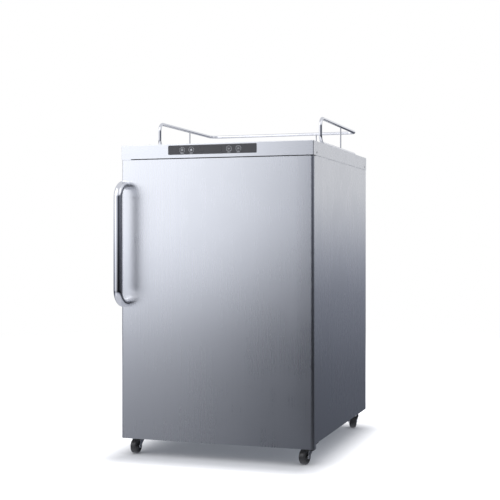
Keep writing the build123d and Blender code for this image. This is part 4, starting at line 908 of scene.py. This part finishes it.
def key_symbol(name, centre, line, low, high):
    """Symbol of a key as (vertices, faces): a stand-by sign, a padlock, or an arrow head down or up."""
    x, z = centre
    if name == "power":
        return joined([ring_shape((x, z), 0.0026, line, 125, 415, low, high),
                       bar_shape((x, z + 0.0012), (x, z + 0.0036), line, low, high)])
    if name == "lock":
        body = np.array([(x - 0.0023, z - 0.0027), (x + 0.0023, z - 0.0027), (x + 0.0023, z + 0.0004),
                         (x - 0.0023, z + 0.0004)])
        return joined([extruded(body, low, high),
                       ring_shape((x, z + 0.0006), 0.0015, line * 0.8, 0, 180, low, high)])
    way = -1 if name == "lower" else 1
    tip = (x, z + way * 0.0018)
    return joined([bar_shape((x - 0.0026, z - way * 0.0009), tip, line, low, high),
                   bar_shape((x + 0.0026, z - way * 0.0009), tip, line, low, high)])


PRINT_DEPTH = 0.00012             # how far printed marks stand out of the surface and reach into it


class COOLER_OT_panel(bpy.types.Operator):
    """Symbols on the four keys and the printed marks of the control panel"""
    bl_idname = "cooler.panel"
    bl_label = "Control panel marks"

    def execute(self, context):
        _, size, _ = settings()
        line = size.symbol_line
        panel_low, _ = node_box("control_panel")
        raised = (panel_low[1] - PRINT_DEPTH, panel_low[1] + PRINT_DEPTH)
        marks = []
        for name in KEYS:
            low, high = node_box("button_" + name)
            x, z = (low[0] + high[0]) / 2, (low[2] + high[2]) / 2
            shape = key_symbol(name, (x, z), line, low[1] - PRINT_DEPTH, low[1] + PRINT_DEPTH)
            piece("symbol_" + name, shape, "key_" + name, FINISHES["mark"])
            reach = (high[0] - low[0]) / 2
            marks.append(ring_shape((x, z), reach + 0.0006, 0.0005, 0, 360, *raised))
            base = z - reach - 0.0030
            marks.append(bar_shape((x - 0.0045, base), (x + 0.0045, base), 0.0009, *raised))
        piece("panel_print", joined(marks), CABINET, FINISHES["mark"])
        return {"FINISHED"}


# ------------------------------------------------------------------ casters
def wheel_shape(middle, axis, wheel_radius, half_width, hub_half, hub_radius, bore):
    """Caster wheel as one closed turned section round its axle.

    The section runs from the bore out over the hub's face, down into the web's hollow, up over the rounded
    tread and back the same way on the other side."""
    shoulder = half_width * 0.52
    web = half_width - 0.0034
    rim = wheel_radius * 0.70
    side = [(hub_half, bore), (hub_half, hub_radius - 0.0006), (hub_half - 0.0006, hub_radius),
            (web + 0.0006, hub_radius + 0.0002), (web, hub_radius + 0.0012), (web, rim - 0.0012),
            (web + 0.0008, rim - 0.0002), (half_width - 0.0006, rim), (half_width, rim + 0.0008),
            (half_width, wheel_radius - shoulder)]
    crown = arc((half_width - shoulder, wheel_radius - shoulder), shoulder, 0, 90, 12)
    half = np.concatenate([np.array(side), crown])
    mirrored = half[::-1] * np.array([-1, 1])
    section = np.concatenate([half, mirrored])
    return lathe(section, middle, axis, 72, closed=True)


HUB_RADIUS = 0.0055


class COOLER_OT_casters(bpy.types.Operator):
    """The four caster wheels with rounded treads, hollow webs and hubs"""
    bl_idname = "cooler.casters"
    bl_label = "Casters"

    def execute(self, context):
        for name in CORNERS:
            middle, axis = joint_line("roll_" + name)
            points = node_points("caster_wheel_" + name)
            along = (points - middle) @ axis
            reach = np.linalg.norm(points - middle - along[:, None] * axis, axis=1)
            radius = reach.max()
            tread = np.abs(along[reach > radius * 0.75]).max()
            shape = wheel_shape(middle, axis, radius, tread, np.abs(along).max(), HUB_RADIUS, reach.min())
            piece("wheel_" + name, shape, "wheel_" + name, FINISHES["rubber"],
                  ["caster_wheel_" + name], 40.0)
        return {"FINISHED"}


# ------------------------------------------------------------------ fan
BLADE_THICK = 0.0009


def blade_shape(origin, axis, angle, root, tip, chord, thick):
    """One fan blade: an arched aerofoil section whose chord, pitch and sweep change from root to tip.

    Along the span the pitch falls from 42 to 24 degrees and the blade sweeps forwards; across the chord the
    camber is a parabola and the thickness a half sine."""
    span = np.linspace(0, 1, 14)[:, None]
    round_ = np.linspace(0, 2 * np.pi, 28, endpoint=False)[None, :]
    along_chord = 0.5 * np.cos(round_)
    camber = 0.09 * (1 - (2 * along_chord) ** 2)
    lift = thick * np.sin(round_) * (1 - 0.3 * span)
    width = chord * (0.55 + 0.75 * span - 0.25 * span ** 3)
    pitch = np.radians(42 - 18 * span)
    reach = root + (tip - root) * span + 0 * along_chord
    x = width * along_chord
    y = camber * width + lift
    around = (x * np.cos(pitch) - y * np.sin(pitch)) / reach + 0.35 * span + angle
    forward = x * np.sin(pitch) + y * np.cos(pitch)
    guide = np.array([0.0, 0.0, 1.0])
    across = np.cross(axis, guide)
    spoke = np.cos(around)[..., None] * across + np.sin(around)[..., None] * guide
    return skin(np.array(origin) + reach[..., None] * spoke + forward[..., None] * axis)


class COOLER_OT_fan(bpy.types.Operator):
    """The circulating fan's hub and twisted blades"""
    bl_idname = "cooler.fan"
    bl_label = "Fan"

    def execute(self, context):
        _, size, _ = settings()
        low, high = node_box("fan_blade")
        middle = (low + high) / 2
        reach = (high[0] - low[0]) / 2
        axis = np.array([0.0, 1.0, 0.0])
        deep = (high[1] - low[1]) / 2
        hub = reach * 0.32
        profile = [(-deep, 0.0002), (-deep, hub * 0.5), (-deep * 0.92, hub * 0.8), (-deep * 0.7, hub * 0.95),
                   (-deep * 0.4, hub), (deep, hub), (deep, 0.0035)]
        turn = 2 * math.pi / size.fan_blades
        blades = [blade_shape(middle, axis, index * turn, hub * 0.94, reach, reach * 0.42, BLADE_THICK)
                  for index in range(size.fan_blades)]
        parts = [lathe(profile, middle, axis, 40), *blades]
        piece("fan_rotor", joined(parts), FAN, FINISHES["black"], ["fan_blade"], 40.0)
        return {"FINISHED"}


# ------------------------------------------------------------------ stage
WHITE = (1.0, 1.0, 1.0, 1.0)
COOL = (0.86, 0.95, 1.22, 1.0)
# brightness of the room's walls by heading: behind the cooler at 0, its right at 0.25, its front at 0.5,
# its left at 0.75 and behind it again at 1
WALL_STOPS = ((0.0, 0.86), (0.055, 0.94), (0.09, 0.7), (0.12, 0.04), (0.19, 0.04), (0.22, 0.3), (0.28, 0.3),
              (0.31, 0.04), (0.36, 0.04), (0.42, 0.15), (0.53, 0.17), (0.57, 0.8), (0.60, 0.85),
              (0.75, 0.85), (0.92, 0.85), (1.0, 0.86))
# brightness by height, from 37 degrees below the horizon, where the floor lies, to 6 above it
HEIGHT_STOPS = ((0.0, 0.85), (0.26, 0.75), (0.42, 0.3), (0.5, 0.1), (0.65, 0.17), (0.775, 0.30), (0.83, 0.50),
                (0.88, 0.78), (0.93, 1.0))
PLAIN_WALL = (0.75, 0.75, 0.75, 1.0)     # the walls well below and above the horizon


def studio_world(stage):
    """A white studio for the camera; for reflections and light, a room whose walls have dark and light bands,
    with a cool tint where it is dark."""
    world = bpy.data.worlds.new("Studio")
    bpy.context.scene.world = world
    world.use_nodes = True
    tree = world.node_tree
    background = tree.nodes["Background"]
    direction = node(tree, "ShaderNodeTexCoord").outputs["Generated"]
    parts = node(tree, "ShaderNodeSeparateXYZ", [("Vector", direction)])
    rise = parts.outputs["Z"]
    back = math_node(tree, "MULTIPLY", parts.outputs["Y"], -1.0)
    left = math_node(tree, "MULTIPLY", parts.outputs["X"], -1.0)
    heading = math_node(tree, "ARCTAN2", left, back)
    wall = ramp(tree, mapped(tree, heading, -math.pi, math.pi, 0.0, 1.0), WALL_STOPS)
    height = ramp(tree, mapped(tree, rise, -0.6, 0.1, 0.0, 1.0), HEIGHT_STOPS)
    near_floor = mapped(tree, rise, 0.03, -0.2, 0.0, 0.9)
    power = math_node(tree, "ADD", near_floor, 1.0)
    clear_below = mapped(tree, rise, -0.22, -0.36, 0.0, 1.0, True)
    clear_above = mapped(tree, rise, 0.16, 0.4, 0.0, 1.0, True)
    clear = math_node(tree, "MAXIMUM", clear_below, clear_above)
    around = colour_mix(tree, clear, math_node(tree, "POWER", wall, power), PLAIN_WALL)
    light = math_node(tree, "MULTIPLY", height, around)
    tint = colour_mix(tree, light, COOL, WHITE)
    colour = node(tree, "ShaderNodeVectorMath", [(0, tint), ("Scale", light)], operation="SCALE").outputs[0]
    seen = node(tree, "ShaderNodeLightPath").outputs["Is Camera Ray"]
    tree.links.new(colour_mix(tree, seen, colour, WHITE), background.inputs["Color"])
    background.inputs["Strength"].default_value = stage.studio


def ramp(tree, value, stops):
    """A number read off a list of (place, level) stops with soft steps between them."""
    made = tree.nodes.new("ShaderNodeValToRGB")
    tree.links.new(value, made.inputs["Fac"])
    band = made.color_ramp
    band.interpolation = "EASE"
    while len(band.elements) < len(stops):
        band.elements.new(0.5)
    for element, (position, level) in zip(band.elements, stops):
        element.position = position
        element.color = (level, level, level, 1.0)
    return made.outputs["Color"]


PAINTED_SHADOW_HALF_SIDES = (("X", 0.26), ("Y", 0.31))     # half sides of the rectangle round the cooler where the floor's glow is cut, a painted shadow
PAINTED_SHADOW_EDGE = 0.19                            # width of the soft edge of that painted shadow
FLOOR_FADE = (1.2, 4.0)                      # distances between which the floor turns white


def stage_floor(stage):
    """A very large pale floor that takes soft shadows near the cooler, has a painted shadow round the cooler
    where its glow is cut, and fades to white far away.
    """
    half = stage.floor_size / 2
    steps = np.linspace(-half, half, 9)
    x, y = np.meshgrid(steps, steps, indexing="ij")
    points = np.stack([x, y, np.full_like(x, BOX_LOW[2])], -1)
    mesh = bpy.data.meshes.new("studio_floor")
    mesh.from_pydata(points.reshape(-1, 3).tolist(), [], grid_faces(9, 9, False, False)[:, ::-1].tolist())
    floor = placed("studio_floor", mesh)
    material, tree, shader = new_material("Studio floor")
    place = object_place(tree)
    distance = node(tree, "ShaderNodeVectorMath", [(0, place)], operation="LENGTH").outputs["Value"]
    far = mapped(tree, distance, *FLOOR_FADE, 0.0, 1.0, True)
    parts = node(tree, "ShaderNodeSeparateXYZ", [("Vector", place)])
    squares = []
    for axis, half_side in PAINTED_SHADOW_HALF_SIDES:
        beyond = math_node(tree, "SUBTRACT", math_node(tree, "ABSOLUTE", parts.outputs[axis]), half_side)
        squares.append(math_node(tree, "POWER", math_node(tree, "MAXIMUM", beyond, 0.0), 2.0))
    gap = math_node(tree, "SQRT", math_node(tree, "ADD", *squares))
    # painted shadow: 0 inside the rectangle round the cooler, rising to 1 across its soft edge
    outside_painted_shadow = mapped(tree, gap, 0.0, PAINTED_SHADOW_EDGE, 0.0, 1.0, True)
    cloud = noise(tree, place, 1.2, 3.0, 0.5)
    tone = mapped(tree, cloud, 0.3, 0.7, 0.86, 0.88)
    shade_out = math_node(tree, "MULTIPLY", tone, math_node(tree, "SUBTRACT", 1.0, far))
    tree.links.new(shade_out, shader.inputs["Base Color"])
    shader.inputs["Roughness"].default_value = 0.9
    shader.inputs["Specular IOR Level"].default_value = 0.0
    # the floor glows white everywhere but in the painted shadow round the cooler, so it is darker there
    # whatever the lights do
    glow = math_node(tree, "MAXIMUM", outside_painted_shadow, far)
    links = [(channel, glow) for channel in ("Red", "Green", "Blue")]
    tree.links.new(node(tree, "ShaderNodeCombineColor", links).outputs[0], shader.inputs["Emission Color"])
    shader.inputs["Emission Strength"].default_value = 1.0
    mesh.materials.append(material)
    floor.visible_glossy = False


def soft_light(name, place, target, side, power):
    """A square soft light at place, aimed at target."""
    data = bpy.data.lights.new(name, "AREA")
    data.shape = "SQUARE"
    data.size = side
    data.energy = power
    lamp = placed(name, data)
    lamp.location = place
    lamp.rotation_euler = (Vector(target) - Vector(place)).to_track_quat("-Z", "Y").to_euler()
    lamp.visible_camera = False


CARD_Y = -1.19
CARD_LOW = (-1.5, -0.3)
CARD_HIGH = (0.5, 1.7)
CARD_COLOUR = (0.97, 0.99, 1.05, 1.0)
CARD_LEAN = (0.25, 0.7, 0.24)     # between these heights the card's dark side leans this far to the left
# brightness of the card from its left edge to its right edge, and from its foot to its top
CARD_ACROSS = ((0.0, 1.0), (0.5, 1.0), (0.61, 0.82), (0.70, 0.48), (0.78, 0.15), (0.87, 0.0))
CARD_UPWARD = ((0.0, 0.24), (0.1, 0.32), (0.19, 0.43), (0.27, 0.6), (0.35, 0.84), (0.42, 0.98), (0.5, 1.0),
               (0.58, 0.9))


def soft_card(stage):
    """A large upright soft light before the door that only reflections see; it fades right and downwards."""
    (left, foot), (right, top) = CARD_LOW, CARD_HIGH
    mesh = bpy.data.meshes.new("soft_card")
    mesh.from_pydata([(x, CARD_Y, z) for x, z in ((left, foot), (right, foot), (right, top), (left, top))],
                     [], [(3, 2, 1, 0)])
    card = placed("soft_card", mesh)
    material, tree, _ = new_material("Soft card")
    tree.nodes.clear()
    parts = node(tree, "ShaderNodeSeparateXYZ", [("Vector", object_place(tree))])
    lean = mapped(tree, parts.outputs["Z"], *CARD_LEAN, 0.0)
    leaning = math_node(tree, "ADD", parts.outputs["X"], lean)
    across = ramp(tree, mapped(tree, leaning, left, right, 0.0, 1.0), CARD_ACROSS)
    upward = ramp(tree, mapped(tree, parts.outputs["Z"], foot, top, 0.0, 1.0), CARD_UPWARD)
    facing = math_node(tree, "SUBTRACT", 1.0, node(tree, "ShaderNodeNewGeometry").outputs["Backfacing"])
    level = math_node(tree, "MULTIPLY", math_node(tree, "MULTIPLY", across, upward), facing)
    glow = node(tree, "ShaderNodeEmission", [("Strength", math_node(tree, "MULTIPLY", level, stage.card)),
                                             ("Color", CARD_COLOUR)])
    clear = node(tree, "ShaderNodeBsdfTransparent")
    both = node(tree, "ShaderNodeAddShader", [(0, glow.outputs[0]), (1, clear.outputs[0])])
    end = node(tree, "ShaderNodeOutputMaterial")
    tree.links.new(both.outputs[0], end.inputs["Surface"])
    mesh.materials.append(material)
    card.visible_camera = False
    card.visible_diffuse = False
    card.visible_shadow = False


LIGHT_TARGET = (0, 0, 0.5)
# name, place, side and share of the key light's power
STUDIO_LIGHTS = (("key_light", (-2.2, -2.6, 3.0), 2.6, 1.0), ("fill_light", (2.6, -0.8, 2.6), 2.4, 0.35))


class COOLER_OT_stage(bpy.types.Operator):
    """The pale floor, the studio, the soft card and lights, and the camera"""
    bl_idname = "cooler.stage"
    bl_label = "Stage"

    def execute(self, context):
        _, _, stage = settings()
        stage_floor(stage)
        studio_world(stage)
        soft_card(stage)
        for name, place, side, share in STUDIO_LIGHTS:
            soft_light(name, place, LIGHT_TARGET, side, stage.key_light * share)
        data = bpy.data.cameras.new("camera")
        data.sensor_width = 36.0
        data.lens = stage.lens
        data.shift_x, data.shift_y = stage.shift
        camera = placed("camera", data)
        camera.location = stage.camera_place
        camera.rotation_euler = (math.pi / 2, 0.0, stage.camera_turn)
        context.scene.camera = camera
        context.scene.view_settings.view_transform = "Standard"
        return {"FINISHED"}


# ------------------------------------------------------------------ add-on
OPERATORS = (COOLER_OT_finishes, COOLER_OT_door_wrap, COOLER_OT_gasket, COOLER_OT_handle,
             COOLER_OT_guard_rail, COOLER_OT_screws, COOLER_OT_panel, COOLER_OT_casters, COOLER_OT_fan,
             COOLER_OT_stage)


class COOLER_PT_sidebar(bpy.types.Panel):
    """Lists the cooler's pieces and settings"""
    bl_idname = "COOLER_PT_sidebar"
    bl_label = "Keg cooler"
    bl_space_type = "VIEW_3D"
    bl_region_type = "UI"
    bl_category = "Keg cooler"

    def draw(self, context):
        column = self.layout.column(align=True)
        for operator in OPERATORS:
            column.operator(operator.bl_idname)
        for group in settings():
            box = self.layout.box()
            for field in group.__annotations__:
                box.prop(group, field)


GROUP_CLASSES = (CoolerFinishes, CoolerSizes, CoolerStage)


def register():
    for one in (*GROUP_CLASSES, *OPERATORS, COOLER_PT_sidebar):
        bpy.utils.register_class(one)
    bpy.types.Scene.cooler_finishes = PointerProperty(type=CoolerFinishes)
    bpy.types.Scene.cooler_sizes = PointerProperty(type=CoolerSizes)
    bpy.types.Scene.cooler_stage = PointerProperty(type=CoolerStage)


def unregister():
    del bpy.types.Scene.cooler_finishes
    del bpy.types.Scene.cooler_sizes
    del bpy.types.Scene.cooler_stage
    for one in reversed((*GROUP_CLASSES, *OPERATORS, COOLER_PT_sidebar)):
        bpy.utils.unregister_class(one)


def main():
    register()
    for operator in OPERATORS:
        family, name = operator.bl_idname.split(".")
        getattr(getattr(bpy.ops, family), name)()


if __name__ == "__main__":
    main()
